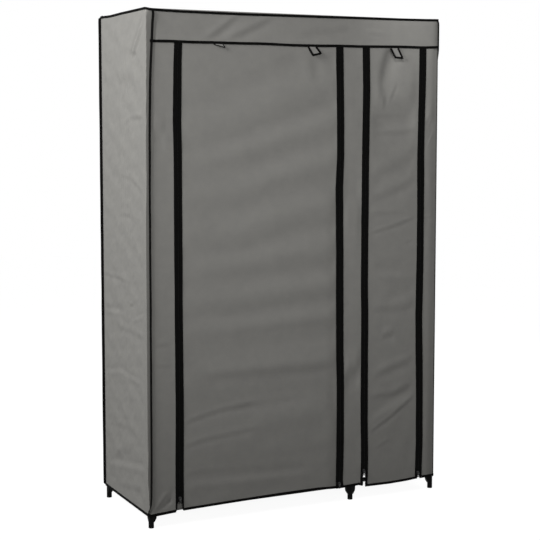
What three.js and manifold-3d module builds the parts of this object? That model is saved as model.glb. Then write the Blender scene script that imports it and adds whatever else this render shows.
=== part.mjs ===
// Portable fabric wardrobe: a knock-down frame of steel tubes in plastic connectors, dressed in one
// sewn cover with two roll-up doors. Millimetres, +Z up. The origin is on the floor under the middle,
// the front faces -Y, and the wide bay is on the left, at -X.
import * as THREE from 'three';
import { mergeVertices } from 'three/addons/utils/BufferGeometryUtils.js';
import Module from 'manifold-3d';

const wasm = await Module();
wasm.setup();

// Overall size, over the bindings
const width = 1150;
const depth = 450;
const height = 1750;

// Cloth, bindings and hems
const clothThickness = 1.2;
const seatGap = 0.3;
const bindingThickness = 0.9;
const bindingWidth = 8.5;
const hemBottom = 48;
const hemHeight = 9;

// Front layout, measured from the left face of the cover
const zipPlaces = [111.5, 736, 839, 1073.5];
const middlePostPlace = 791;
const leftSeamPlace = 14;
const bandHeight = 110;

// Zips
const tapeWidth = 13;
const tapeProud = 0.5;
const zipSlot = 3.4;
const sliderWidth = 10.5;
const sliderHeight = 14;
const sliderPlate = 2;
const sliderBackPlate = 1.4;
const sliderClearance = 0.4;
const bridgeWidth = 2.2;
const bridgeHeight = 7;
const sliderPlaces = [92, 66, 102, 67];
const pinRadius = 0.9;
const pinStandOff = 3;
const earThickness = 1.3;
const pullWidth = 5.2;
const pullThickness = 1.4;
const pullLength = 15;
const pullClearance = 0.35;
const pullSlotLength = 5;
const pullSlotWidth = 2.4;

// Roll-up straps
const strapPlaces = [261, 620, 961];
const strapWidth = 37;
const strapThickness = 1.2;
const strapDrops = [10, 32, 33];
const strapSlant = 18;
const strapStandOff = 1.4;

// Frame
const tubeRadius = 8;
const tubeWall = 0.6;
const socketFit = 0.3;
const socketWall = 1.1;
const socketReach = 35;
const socketDepth = 22;
const socketEnd = 13;
const frontRoom = 3.4;
const bottomRailHeight = 66;
const footFloor = 50;
const footChamfer = 1;
const gussetThickness = 10;
const gussetFoot = 22;
const gussetShoulder = 34;
const gussetEdge = 17.6;
const gussetTop = 47;
const gussetReach = 31;
const shelfSteps = 5;
const hangingRailDrop = 46;
const bracketWidth = 24;
const bracketWeb = 6;
const collarReach = 20;

// Roundness of tubes and corners
const tubeSides = 10;
const cornerSteps = 3;

// One overrun for every cut that runs out of its piece
const overrun = 5;

// Places that follow from the sizes above
const coverProud = seatGap + bindingThickness;
const halfWidth = width / 2 - coverProud;
const halfDepth = depth / 2 - coverProud;
const coverTop = height - coverProud;
const sleeveRadius = tubeRadius + socketFit + socketWall;
const boreRadius = tubeRadius + socketFit;
const cornerRadius = sleeveRadius + seatGap + clothThickness;
const sidePostX = halfWidth - clothThickness - seatGap - sleeveRadius;
const middlePostX = middlePostPlace - width / 2;
const postY = halfDepth - clothThickness - frontRoom - sleeveRadius;
const topRailZ = coverTop - clothThickness - seatGap - sleeveRadius;
const bottomRailZ = bottomRailHeight;
const shelfRise = (topRailZ - bottomRailZ) / shelfSteps;
const hemTop = hemBottom + hemHeight;
const clothBottom = hemTop + seatGap;
const bandSeamZ = height - bandHeight;
const wallTop = coverTop - clothThickness - seatGap;
const sideSeamY = halfDepth - cornerRadius;
const leftSeamX = leftSeamPlace - width / 2;
const zipX = zipPlaces.map((place) => place - width / 2);
const railEnd = socketReach - socketDepth + seatGap;

// Materials, with the colours that the photograph shows
const materials = {
  cloth: new THREE.MeshStandardMaterial({ color: '#7b7b78', roughness: 0.9, metalness: 0 }),
  binding: new THREE.MeshStandardMaterial({ color: '#0e0e0d', roughness: 0.85, metalness: 0 }),
  steel: new THREE.MeshStandardMaterial({ color: '#161616', roughness: 0.4, metalness: 0.3 }),
  plastic: new THREE.MeshStandardMaterial({ color: '#121212', roughness: 0.5, metalness: 0 }),
  slider: new THREE.MeshStandardMaterial({ color: '#1a1a1a', roughness: 0.35, metalness: 0.6 }),
};

const wardrobe = new THREE.Group();

// Solids: a closed geometry becomes a manifold, and a manifold becomes a named mesh
function solid(geometry) {
  geometry.deleteAttribute('normal');
  geometry.deleteAttribute('uv');
  const merged = mergeVertices(geometry);
  const vertProperties = merged.attributes.position.array;
  const triVerts = new Uint32Array(merged.index.array);
  return new wasm.Manifold(new wasm.Mesh({ numProp: 3, vertProperties, triVerts }));
}

function addGeometry(name, geometry, material, parent = wardrobe) {
  const mesh = new THREE.Mesh(geometry, material);
  mesh.name = name;
  parent.add(mesh);
  return mesh;
}

function addSolid(name, shape, material, parent = wardrobe) {
  const { vertProperties, triVerts, numProp } = shape.getMesh();
  const geometry = new THREE.BufferGeometry();
  geometry.setAttribute('position', new THREE.BufferAttribute(vertProperties.slice(), numProp));
  geometry.setIndex(new THREE.BufferAttribute(triVerts.slice(), 1));
  geometry.computeVertexNormals();
  return addGeometry(name, geometry, material, parent);
}

function joined(shapes) {
  return shapes.reduce((whole, shape) => whole.add(shape));
}

function block(low, high) {
  const size = new THREE.Vector3().subVectors(high, low);
  const geometry = new THREE.BoxGeometry(size.x, size.y, size.z);
  geometry.translate((low.x + high.x) / 2, (low.y + high.y) / 2, (low.z + high.z) / 2);
  return solid(geometry);
}

function at(x, y, z) {
  return new THREE.Vector3(x, y, z);
}

// A round bar between two points; its sides are set flat to the axes
function rod(radius, from, to, endRadius = radius) {
  const along = new THREE.Vector3().subVectors(to, from);
  const geometry = new THREE.CylinderGeometry(endRadius, radius, along.length(), tubeSides);
  const turn = new THREE.Quaternion().setFromUnitVectors(at(0, 1, 0), along.clone().normalize());
  geometry.applyQuaternion(turn);
  geometry.translate((from.x + to.x) / 2, (from.y + to.y) / 2, (from.z + to.z) / 2);
  return solid(geometry);
}

function stretched(from, to, extra) {
  const step = new THREE.Vector3().subVectors(to, from).setLength(extra);
  return [from.clone().sub(step), to.clone().add(step)];
}

function pipe(from, to) {
  const [boreFrom, boreTo] = stretched(from, to, overrun);
  return rod(tubeRadius, from, to).subtract(rod(tubeRadius - tubeWall, boreFrom, boreTo));
}

// Posts: each has a place in plan and arms towards its neighbours
const columns = [
  { side: 'left', x: -sidePostX, arms: [1] },
  { side: 'middle', x: middlePostX, arms: [-1, 1] },
  { side: 'right', x: sidePostX, arms: [-1] },
];
const frames = [
  { face: 'front', y: -postY, inward: 1 },
  { face: 'rear', y: postY, inward: -1 },
];

function armSolids(x, y, z, reaches) {
  const centre = at(x, y, z);
  const along = (way, reach) => way.clone().multiplyScalar(reach).add(centre);
  const outer = reaches.map((way) => rod(sleeveRadius, centre, along(way, socketReach)));
  const bores = reaches.map((way) => (
    rod(boreRadius, along(way, socketEnd), along(way, socketReach + overrun))
  ));
  return { outer, bores };
}

function waysOf(column, frame) {
  return [...column.arms.map((way) => at(way, 0, 0)), at(0, frame.inward, 0)];
}

// A web under each arm of a foot, drawn in the plane of the arm and swept to its thickness
function gusset(x, y, way) {
  const outline = new THREE.Shape();
  outline.moveTo(0, gussetFoot);
  outline.lineTo(sleeveRadius * Math.cos(Math.PI / tubeSides), gussetFoot);
  outline.lineTo(gussetEdge, gussetShoulder);
  outline.lineTo(gussetEdge, gussetTop);
  outline.quadraticCurveTo(
    gussetEdge,
    bottomRailZ - sleeveRadius,
    gussetReach,
    bottomRailZ - sleeveRadius,
  );
  outline.lineTo(gussetReach, bottomRailZ);
  outline.lineTo(0, bottomRailZ);
  outline.closePath();
  const geometry = new THREE.ExtrudeGeometry(outline, {
    depth: gussetThickness,
    bevelEnabled: false,
    curveSegments: cornerSteps + 1,
  });
  geometry.translate(0, 0, -gussetThickness / 2);
  geometry.rotateX(Math.PI / 2);
  geometry.rotateZ(Math.atan2(way.y, way.x));
  geometry.translate(x, y, 0);
  return solid(geometry);
}

function footConnector(column, frame) {
  const { x } = column;
  const { y } = frame;
  const ways = waysOf(column, frame);
  const { outer, bores } = armSolids(x, y, bottomRailZ, ways);
  const body = joined([
    rod(sleeveRadius - footChamfer, at(x, y, 0), at(x, y, footChamfer), sleeveRadius),
    rod(sleeveRadius, at(x, y, footChamfer), at(x, y, bottomRailZ + socketReach)),
    ...outer,
    ...ways.map((way) => gusset(x, y, way)),
  ]);
  const postBore = rod(boreRadius, at(x, y, footFloor), at(x, y, bottomRailZ + socketReach + overrun));
  return body.subtract(joined([postBore, ...bores]));
}

function topConnector(column, frame) {
  const { x } = column;
  const { y } = frame;
  const { outer, bores } = armSolids(x, y, topRailZ, waysOf(column, frame));
  const body = joined([
    rod(sleeveRadius, at(x, y, topRailZ - socketReach), at(x, y, topRailZ + sleeveRadius)),
    ...outer,
  ]);
  const postBoreLow = topRailZ - socketReach - overrun;
  const postBore = rod(boreRadius, at(x, y, postBoreLow), at(x, y, topRailZ + seatGap));
  return body.subtract(joined([postBore, ...bores]));
}

function post(column, frame) {
  return pipe(at(column.x, frame.y, footFloor + seatGap), at(column.x, frame.y, topRailZ));
}

for (const frame of frames) {
  for (const column of columns) {
    const place = `${frame.face}_${column.side}`;
    addSolid(`${place}_post`, post(column, frame), materials.steel);
    addSolid(`${place}_foot`, footConnector(column, frame), materials.plastic);
    addSolid(`${place}_top_connector`, topConnector(column, frame), materials.plastic);
  }
}

// Rails across the top, front and rear, and side rails at the top and at the bottom. The narrow bay
// has no cloth at its foot, so its bottom rails are bare
const bays = [
  { side: 'left', from: -sidePostX, to: middlePostX },
  { side: 'right', from: middlePostX, to: sidePostX },
];
const crossRail = (bay, y, z) => pipe(at(bay.from + railEnd, y, z), at(bay.to - railEnd, y, z));
for (const frame of frames) {
  for (const bay of bays) {
    const rail = crossRail(bay, frame.y, topRailZ);
    addSolid(`top_${frame.face}_${bay.side}_rail`, rail, materials.steel);
  }
  addSolid(`bottom_${frame.face}_right_rail`, crossRail(bays[1], frame.y, bottomRailZ), materials.steel);
}
for (const [level, z] of [['bottom', bottomRailZ], ['top', topRailZ]]) {
  for (const column of columns) {
    const from = at(column.x, -postY + railEnd, z);
    const to = at(column.x, postY - railEnd, z);
    addSolid(`${level}_${column.side}_side_rail`, pipe(from, to), materials.steel);
  }
}

// Hanging rail of the wide bay, with a bracket at each end that hooks over a top side rail
function hangingRail() {
  const z = topRailZ - hangingRailDrop;
  const from = at(-sidePostX - bracketWeb / 2, 0, z);
  const to = at(middlePostX + bracketWeb / 2, 0, z);
  const brackets = [-sidePostX, middlePostX].flatMap((x) => [
    rod(sleeveRadius, at(x, -bracketWidth / 2, topRailZ), at(x, bracketWidth / 2, topRailZ)),
    block(
      at(x - bracketWeb / 2, -sleeveRadius, z - sleeveRadius),
      at(x + bracketWeb / 2, sleeveRadius, topRailZ),
    ),
  ]);
  const hooks = [-sidePostX, middlePostX].map((x) => rod(
    boreRadius,
    at(x, -bracketWidth / 2 - overrun, topRailZ),
    at(x, bracketWidth / 2 + overrun, topRailZ),
  ));
  const railBore = rod(tubeRadius - tubeWall, ...stretched(from, to, overrun));
  return joined([rod(tubeRadius, from, to), ...brackets]).subtract(joined([railBore, ...hooks]));
}
addSolid('hanging_rail', hangingRail(), materials.steel);

// Shelves: a sheet of cloth sewn into a sleeve over a rail at the front and at the rear. Above the
// bottom, the rails end in collars that grip the four posts
const shelfSleeveRadius = tubeRadius + seatGap + clothThickness;
function shelf(bay, z) {
  const cloth = [bay.from + socketReach + seatGap, bay.to - socketReach - seatGap];
  const sheetTop = z + shelfSleeveRadius * Math.cos(Math.PI / tubeSides);
  const ends = [bay.from + railEnd, bay.to - railEnd];
  return joined([
    ...[-postY, postY].map((y) => rod(tubeRadius, at(ends[0], y, z), at(ends[1], y, z))),
    ...[-postY, postY].map((y) => rod(shelfSleeveRadius, at(cloth[0], y, z), at(cloth[1], y, z))),
    block(at(cloth[0], -postY, sheetTop - clothThickness), at(cloth[1], postY, sheetTop)),
  ]);
}

function collaredShelf(bay, z) {
  const corners = [bay.from, bay.to].flatMap((x) => [-postY, postY].map((y) => ({ x, y })));
  const collars = corners.map(({ x, y }) => (
    rod(sleeveRadius, at(x, y, z - collarReach), at(x, y, z + collarReach))
  ));
  const arms = corners.map(({ x, y }) => {
    const inward = x === bay.from ? socketReach : -socketReach;
    return rod(sleeveRadius, at(x, y, z), at(x + inward, y, z));
  });
  const bores = corners.map(({ x, y }) => (
    rod(boreRadius, at(x, y, z - collarReach - overrun), at(x, y, z + collarReach + overrun))
  ));
  return joined([shelf(bay, z), ...collars, ...arms]).subtract(joined(bores));
}

addSolid('wide_bay_bottom_shelf', shelf(bays[0], bottomRailZ), materials.cloth);
for (let level = 1; level < shelfSteps; level += 1) {
  const z = bottomRailZ + level * shelfRise;
  addSolid(`narrow_bay_shelf_${level}`, collaredShelf(bays[1], z), materials.cloth);
}

// Cover: its walls are slices of one shell with rounded upright corners
function coverBlock(grow, low, high) {
  const x = halfWidth + grow;
  const y = halfDepth + grow;
  const r = cornerRadius + grow;
  const quarter = Math.PI / 2;
  const outline = new THREE.Shape();
  outline.moveTo(-x + r, -y);
  outline.lineTo(x - r, -y);
  outline.absarc(x - r, -y + r, r, -quarter, 0, false);
  outline.lineTo(x, y - r);
  outline.absarc(x - r, y - r, r, 0, quarter, false);
  outline.lineTo(-x + r, y);
  outline.absarc(-x + r, y - r, r, quarter, 2 * quarter, false);
  outline.lineTo(-x, -y + r);
  outline.absarc(-x + r, -y + r, r, 2 * quarter, 3 * quarter, false);
  const geometry = new THREE.ExtrudeGeometry(outline, {
    depth: high - low,
    bevelEnabled: false,
    curveSegments: cornerSteps,
  });
  geometry.translate(0, 0, low);
  return solid(geometry);
}

function coverShell(inner, outer, low, high) {
  return coverBlock(outer, low, high).subtract(coverBlock(inner, low - overrun, high + overrun));
}

const far = { x: width, y: depth, z: height };
function slab({ x = [-far.x, far.x], y = [-far.y, far.y], z = [-far.z, 2 * far.z] }) {
  return block(at(x[0], y[0], z[0]), at(x[1], y[1], z[1]));
}

const walls = coverShell(-clothThickness, 0, clothBottom, wallTop);
const seam = seatGap / 2;
const front = [-far.y, -sideSeamY - seam];
const belowBand = [-far.z, bandSeamZ - seam];
const fixedEdge = zipX.map((x, zip) => x + (zip % 2 === 0 ? -zipSlot : zipSlot) / 2);
const doorEdge = zipX.map((x, zip) => x + (zip % 2 === 0 ? zipSlot : -zipSlot) / 2);

// A sewn-on half of a zip tape stands proud of the cloth beside the slot
function tape(edge, away, low, high) {
  const sides = [edge, edge + away * tapeWidth].sort((a, b) => a - b);
  return block(at(sides[0], -halfDepth - tapeProud, low), at(sides[1], -halfDepth + clothThickness, high));
}

const wallHigh = bandSeamZ - bindingWidth / 2 - seatGap;
const stripHem = coverShell(-clothThickness, coverProud, hemBottom, hemTop)
  .add(coverShell(-clothThickness, 0, hemTop - seatGap, clothBottom + seatGap));
addSolid('cover_back', walls.intersect(slab({ y: [sideSeamY + seam, far.y] })), materials.cloth);
addSolid(
  'cover_right_side',
  walls.intersect(slab({ x: [0, far.x], y: [-sideSeamY + seam, sideSeamY - seam] })),
  materials.cloth,
);
addSolid(
  'cover_front_band',
  walls.intersect(slab({ x: [leftSeamX + seam, far.x], y: front, z: [bandSeamZ + seam, far.z] })),
  materials.cloth,
);
addSolid(
  'cover_left_stile',
  walls.intersect(slab({ x: [leftSeamX + seam, fixedEdge[0]], y: front, z: belowBand }))
    .add(tape(fixedEdge[0], -1, clothBottom, wallHigh)),
  materials.cloth,
);
addSolid(
  'cover_middle_strip',
  walls.add(stripHem)
    .intersect(slab({ x: [fixedEdge[1], fixedEdge[2]], y: front, z: belowBand }))
    .add(tape(fixedEdge[1], 1, clothBottom, wallHigh))
    .add(tape(fixedEdge[2], -1, clothBottom, wallHigh)),
  materials.cloth,
);
addSolid(
  'cover_right_stile',
  walls.intersect(slab({ x: [fixedEdge[3], far.x], y: front, z: belowBand }))
    .add(tape(fixedEdge[3], 1, clothBottom, wallHigh)),
  materials.cloth,
);
addSolid('cover_top', coverBlock(0, coverTop - clothThickness, coverTop), materials.cloth);

// A closed sheet from two grids of points, outer and inner, with its four edges stitched
function sheetGeometry(outer, inner) {
  const across = outer.length;
  const up = outer[0].length;
  const positions = [...outer, ...inner].flat().flatMap((p) => [p.x, p.y, p.z]);
  const index = [];
  const outside = (i, j) => i * up + j;
  const inside = (i, j) => (across + i) * up + j;
  const quad = (a, b, c, d) => index.push(a, b, c, a, c, d);
  for (let i = 0; i < across - 1; i += 1) {
    for (let j = 0; j < up - 1; j += 1) {
      quad(outside(i, j), outside(i + 1, j), outside(i + 1, j + 1), outside(i, j + 1));
      quad(inside(i, j), inside(i, j + 1), inside(i + 1, j + 1), inside(i + 1, j));
    }
    quad(inside(i, 0), inside(i + 1, 0), outside(i + 1, 0), outside(i, 0));
    quad(outside(i, up - 1), outside(i + 1, up - 1), inside(i + 1, up - 1), inside(i, up - 1));
  }
  const end = across - 1;
  for (let j = 0; j < up - 1; j += 1) {
    quad(outside(0, j), outside(0, j + 1), inside(0, j + 1), inside(0, j));
    quad(inside(end, j), inside(end, j + 1), outside(end, j + 1), outside(end, j));
  }
  const geometry = new THREE.BufferGeometry();
  geometry.setAttribute('position', new THREE.Float32BufferAttribute(positions, 3));
  geometry.setIndex(index);
  geometry.computeVertexNormals();
  return geometry;
}

// Soft folds of hanging cloth. Each entry runs from one point to another, as shares of the panel's
// width and height, with its spread as a share of the width and its rise as a share of foldDepth
const foldDepth = 4;
const wideDoorFoldShares = [
  [0.02, 0.62, 0.34, 0.72, 0.1, 0.9],
  [0.03, 0.5, 0.4, 0.6, 0.09, -0.6],
  [0.1, 0.3, 0.75, 0.36, 0.14, 0.7],
  [0.02, 0.12, 0.55, 0.2, 0.12, 0.8],
  [0.3, 0.05, 0.95, 0.11, 0.1, -0.5],
  [0.5, 0.85, 0.97, 0.78, 0.12, 0.5],
];
const narrowDoorFoldShares = [
  [0.55, 0.97, 0.2, 0.78, 0.16, -0.7],
  [0.75, 0.95, 0.62, 0.7, 0.16, 0.8],
  [0.1, 0.55, 0.9, 0.62, 0.2, 0.6],
  [0.15, 0.22, 0.85, 0.3, 0.2, 0.7],
  [0.1, 0.08, 0.9, 0.05, 0.16, -0.5],
];
const sideFoldShares = [
  [0.98, 0.99, 0.72, 0.8, 0.08, -0.5],
  [0.93, 0.99, 0.5, 0.62, 0.1, -0.7],
  [0.7, 0.86, 0.45, 0.4, 0.14, 0.3],
  [0.3, 0.9, 0.22, 0.15, 0.16, -0.8],
  [0.6, 0.45, 0.52, 0.05, 0.14, -0.4],
];

function foldRelief(u, v, panelWidth, panelHeight, foldShares) {
  let relief = 0;
  for (const [u1, v1, u2, v2, spread, rise] of foldShares) {
    const run = new THREE.Line3(
      at(u1 * panelWidth, v1 * panelHeight, 0),
      at(u2 * panelWidth, v2 * panelHeight, 0),
    );
    const here = at(u * panelWidth, v * panelHeight, 0);
    const nearest = run.closestPointToPoint(here, true, new THREE.Vector3());
    const away = here.distanceTo(nearest) / (spread * panelWidth);
    relief += rise * Math.exp(-away * away);
  }
  return relief * foldDepth * Math.sqrt(Math.max(0, Math.sin(Math.PI * u) * Math.sin(Math.PI * v)));
}

// Doors hang from the seam under the band, inside their own tape and hem
const doorHigh = bandSeamZ - seam;
function doorPanel(left, right, columnsAcross, rowsUp, foldShares) {
  const panelWidth = right - left;
  const panelHeight = doorHigh - clothBottom;
  const grid = (inset) => Array.from({ length: columnsAcross + 1 }, (_, i) => Array.from(
    { length: rowsUp + 1 },
    (__, j) => {
      const u = i / columnsAcross;
      const v = j / rowsUp;
      const relief = foldRelief(u, v, panelWidth, panelHeight, foldShares);
      return at(left + u * panelWidth, -halfDepth - relief + inset, clothBottom + v * panelHeight);
    },
  ));
  return sheetGeometry(grid(0), grid(clothThickness));
}

// The black edging of a door: a tape half down each side and the bound hem between them. Above each
// slider the zip is closed, so there the coil fills the slot
function doorEdging(left, right, zips) {
  const coils = zips.map((zip) => {
    const sides = [doorEdge[zip], fixedEdge[zip]].sort((a, b) => a - b);
    const fixedSide = fixedEdge[zip] < doorEdge[zip] ? 0 : 1;
    sides[fixedSide] += fixedSide === 0 ? seatGap : -seatGap;
    const low = sliderPlaces[zip] + sliderHeight / 2 + seatGap;
    return block(at(sides[0], -halfDepth, low), at(sides[1], -halfDepth + clothThickness, wallHigh));
  });
  return joined([
    ...coils,
    tape(left, 1, hemBottom, wallHigh),
    tape(right, -1, hemBottom, wallHigh),
    block(at(left, -halfDepth - coverProud, hemBottom), at(right, -halfDepth + clothThickness, hemTop)),
  ]);
}

const doors = [
  { name: 'wide_door', zips: [0, 1], columnsAcross: 10, rowsUp: 20, foldShares: wideDoorFoldShares },
  { name: 'narrow_door', zips: [2, 3], columnsAcross: 6, rowsUp: 18, foldShares: narrowDoorFoldShares },
];
for (const door of doors) {
  const [left, right] = door.zips.map((zip) => doorEdge[zip]);
  const inset = tapeWidth + seatGap;
  const panel = doorPanel(left + inset, right - inset, door.columnsAcross, door.rowsUp, door.foldShares);
  addGeometry(door.name, panel, materials.cloth);
  addSolid(`${door.name}_edging`, doorEdging(left, right, door.zips), materials.binding);
}

// Left side: from the rear seam forward, round the corner post and on to the seam in the front
function leftSide(columnsAlong, rowsUp) {
  const straight = 2 * sideSeamY - seatGap;
  const panelHeight = wallTop - clothBottom;
  const path = [];
  for (let i = 0; i <= columnsAlong; i += 1) {
    const u = i / columnsAlong;
    path.push({ u, x: -halfWidth, y: sideSeamY - seam - u * straight, nx: -1, ny: 0 });
  }
  for (let i = 1; i <= cornerSteps; i += 1) {
    const angle = Math.PI + (i / cornerSteps) * (Math.PI / 2);
    const [nx, ny] = [Math.cos(angle), Math.sin(angle)];
    const [cx, cy] = [-halfWidth + cornerRadius, -halfDepth + cornerRadius];
    path.push({ u: 1, x: cx + nx * cornerRadius, y: cy + ny * cornerRadius, nx, ny });
  }
  path.push({ u: 1, x: leftSeamX - seam, y: -halfDepth, nx: 0, ny: -1 });
  const grid = (inset) => path.map((p) => Array.from({ length: rowsUp + 1 }, (_, j) => {
    const v = j / rowsUp;
    const out = foldRelief(p.u, v, straight, panelHeight, sideFoldShares) - inset;
    return at(p.x + p.nx * out, p.y + p.ny * out, clothBottom + v * panelHeight);
  }));
  return sheetGeometry(grid(0), grid(clothThickness));
}
addGeometry('cover_left_side', leftSide(7, 13), materials.cloth);

// Binding of the fixed cover: a thin shell over the cloth, kept only along the seams, and the hem
function coverBinding() {
  const half = bindingWidth / 2;
  const skin = coverBlock(coverProud, hemTop - overrun, height)
    .subtract(coverBlock(seatGap, hemBottom - overrun, coverTop + seatGap));
  const topRing = slab({ z: [height - bindingWidth, 2 * far.z] }).subtract(
    block(
      at(-halfWidth + bindingWidth, -halfDepth + bindingWidth, 0),
      at(halfWidth - bindingWidth, halfDepth - bindingWidth, 2 * far.z),
    ),
  );
  const bandSeam = slab({
    x: [leftSeamX - half, far.x],
    y: front,
    z: [bandSeamZ - half, bandSeamZ + half],
  });
  const uprights = joined([
    slab({ x: [-far.x, 0], y: [sideSeamY - half, sideSeamY + half] }),
    slab({ x: [0, far.x], y: [sideSeamY - half, sideSeamY + half] }),
    slab({ x: [0, far.x], y: [-sideSeamY - half, -sideSeamY + half] }),
    slab({ x: [leftSeamX - half, leftSeamX + half], y: front }),
  ]);
  const hem = coverShell(-clothThickness, coverProud, hemBottom, hemTop).subtract(
    slab({ x: [fixedEdge[0], fixedEdge[3]], y: front }),
  );
  return skin.intersect(joined([topRing, bandSeam, uprights])).add(hem);
}
addSolid('cover_binding', coverBinding(), materials.binding);

// Zip sliders: a plate on each face of the tapes, joined by a bridge in the slot between them
const tapeFace = -halfDepth - tapeProud;
const plateFace = tapeFace - sliderClearance - sliderPlate;
const pinY = plateFace - pinStandOff;
const eyeRadius = pinRadius + pullClearance + pullThickness;
function slider() {
  const half = sliderWidth / 2;
  const back = -halfDepth + clothThickness + sliderClearance;
  const outline = new THREE.Shape();
  const taper = half - bridgeWidth;
  outline.moveTo(-taper, -sliderHeight / 2);
  outline.lineTo(taper, -sliderHeight / 2);
  outline.lineTo(half, 0);
  outline.lineTo(half, sliderHeight / 2 - bridgeWidth);
  outline.lineTo(taper, sliderHeight / 2);
  outline.lineTo(-taper, sliderHeight / 2);
  outline.lineTo(-half, sliderHeight / 2 - bridgeWidth);
  outline.lineTo(-half, 0);
  outline.closePath();
  const plate = (y, thickness) => {
    const geometry = new THREE.ExtrudeGeometry(outline, { depth: thickness, bevelEnabled: false });
    geometry.rotateX(Math.PI / 2);
    geometry.translate(0, y + thickness, 0);
    return solid(geometry);
  };
  const earInner = pullWidth / 2 + pullClearance;
  const earOuter = earInner + earThickness;
  const ears = [[-earOuter, -earInner], [earInner, earOuter]].map(([low, high]) => block(
    at(low, pinY - eyeRadius / 2, -eyeRadius),
    at(high, plateFace + sliderPlate / 2, eyeRadius),
  ));
  return joined([
    plate(plateFace, sliderPlate),
    plate(back, sliderBackPlate),
    block(
      at(-bridgeWidth / 2, plateFace + sliderPlate / 2, -bridgeHeight / 2),
      at(bridgeWidth / 2, back + sliderBackPlate / 2, bridgeHeight / 2),
    ),
    ...ears,
    rod(pinRadius, at(-earInner - earThickness / 2, pinY, 0), at(earInner + earThickness / 2, pinY, 0)),
  ]);
}

// Pull tab: an eye round the slider's pin and a flat tag with a grip slot, hanging down
function pullTab() {
  const tag = block(
    at(-pullWidth / 2, pinY - pullThickness / 2, -pullLength),
    at(pullWidth / 2, pinY + pullThickness / 2, -pinRadius - pullClearance),
  );
  const eye = rod(eyeRadius, at(-pullWidth / 2, pinY, 0), at(pullWidth / 2, pinY, 0));
  const hole = rod(
    pinRadius + pullClearance,
    at(-pullWidth / 2 - overrun, pinY, 0),
    at(pullWidth / 2 + overrun, pinY, 0),
  );
  const slotLow = -pullLength + pullSlotWidth;
  const grip = block(
    at(-pullSlotWidth / 2, pinY - overrun, slotLow),
    at(pullSlotWidth / 2, pinY + overrun, slotLow + pullSlotLength),
  );
  return joined([tag, eye]).subtract(hole).subtract(grip);
}

zipX.forEach((x, zip) => {
  const travellers = new THREE.Group();
  travellers.position.set(x, 0, sliderPlaces[zip]);
  wardrobe.add(travellers);
  addSolid(`zip_${zip + 1}_slider`, slider(), materials.slider, travellers);
  addSolid(`zip_${zip + 1}_pull`, pullTab(), materials.slider, travellers);
});

// Roll-up straps: short ribbons that hang slantwise from the seam under the band
strapPlaces.forEach((place, number) => {
  const drop = strapDrops[number];
  const slant = strapSlant * (drop / Math.max(...strapDrops));
  const outline = new THREE.Shape();
  outline.moveTo(-strapWidth / 2, 0);
  outline.lineTo(-strapWidth / 2 + slant, -drop);
  outline.lineTo(strapWidth / 2 + slant, -drop);
  outline.lineTo(strapWidth / 2, 0);
  outline.closePath();
  const geometry = new THREE.ExtrudeGeometry(outline, { depth: strapThickness, bevelEnabled: false });
  geometry.rotateX(Math.PI / 2);
  const strap = addGeometry(`strap_${number + 1}`, geometry, materials.cloth);
  const top = bandSeamZ - bindingWidth / 2 - seatGap;
  strap.position.set(place - width / 2, -halfDepth - strapStandOff, top);
});

export default wardrobe;
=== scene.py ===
# %% [markdown]
# # A portable fabric wardrobe
# The real one is a frame of thin steel tubes pushed into moulded plastic connectors. One sewn cover
# of grey nonwoven cloth hangs over it, its seams wrapped in black tape. Two doors close with zips
# and roll up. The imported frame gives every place, so it is loaded first. Lengths here are in
# millimetres, and turn to metres only where a mesh is made.

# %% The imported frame
import math

import bmesh
import bpy
import numpy as np
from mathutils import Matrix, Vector


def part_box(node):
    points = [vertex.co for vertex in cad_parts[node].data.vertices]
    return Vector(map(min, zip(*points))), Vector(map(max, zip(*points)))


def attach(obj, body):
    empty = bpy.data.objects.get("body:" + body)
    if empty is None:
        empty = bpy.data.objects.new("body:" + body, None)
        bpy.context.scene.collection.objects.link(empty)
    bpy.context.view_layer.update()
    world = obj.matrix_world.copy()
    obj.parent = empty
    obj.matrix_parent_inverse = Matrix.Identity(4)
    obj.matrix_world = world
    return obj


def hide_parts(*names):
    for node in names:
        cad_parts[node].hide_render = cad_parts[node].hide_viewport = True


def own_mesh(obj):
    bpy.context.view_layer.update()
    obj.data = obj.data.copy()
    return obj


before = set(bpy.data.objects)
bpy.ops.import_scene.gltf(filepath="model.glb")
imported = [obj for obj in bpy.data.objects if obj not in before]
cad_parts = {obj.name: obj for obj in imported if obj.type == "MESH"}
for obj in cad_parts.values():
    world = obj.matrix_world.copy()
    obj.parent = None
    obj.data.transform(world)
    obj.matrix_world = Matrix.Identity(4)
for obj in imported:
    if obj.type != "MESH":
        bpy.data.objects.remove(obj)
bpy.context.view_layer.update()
MM = 0.001

# %% [markdown]
# The camera comes first. It stands a little above the middle and looks gently down, from the left
# of the front, so that the side panel shows as a narrow bright strip.

# %% Camera
eye = Vector((-2.1752, -4.3337, 1.3650))
heading, dip = 0.464, math.radians(5.09)
image_side, focal_length = 540, 1327.0
camera_data = bpy.data.cameras.new("camera")
camera_data.sensor_width = 36
camera_data.lens = focal_length / image_side * camera_data.sensor_width
camera_data.shift_y = -0.05
camera = bpy.data.objects.new("camera", camera_data)
bpy.context.collection.objects.link(camera)
look = Vector((math.sin(heading) * math.cos(dip), math.cos(heading) * math.cos(dip), -math.sin(dip)))
camera.location = eye
camera.rotation_euler = look.to_track_quat("-Z", "Y").to_euler()
bpy.context.scene.camera = camera
print("lens", round(camera_data.lens, 1), "mm")

# %% [markdown]
# Colours are written as on a paint card, in sRGB hex, and one function turns them to the linear
# numbers that shaders want. One more function adds a node with its settings and links, for shaders
# and for Geometry Nodes alike.

# %% Colour and node helpers
def linear(code):
    shares = [int(code[i:i + 2], 16) / 255 for i in (1, 3, 5)]
    return tuple(c / 12.92 if c <= 0.04045 else ((c + 0.055) / 1.055) ** 2.4 for c in shares) + (1,)


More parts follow.
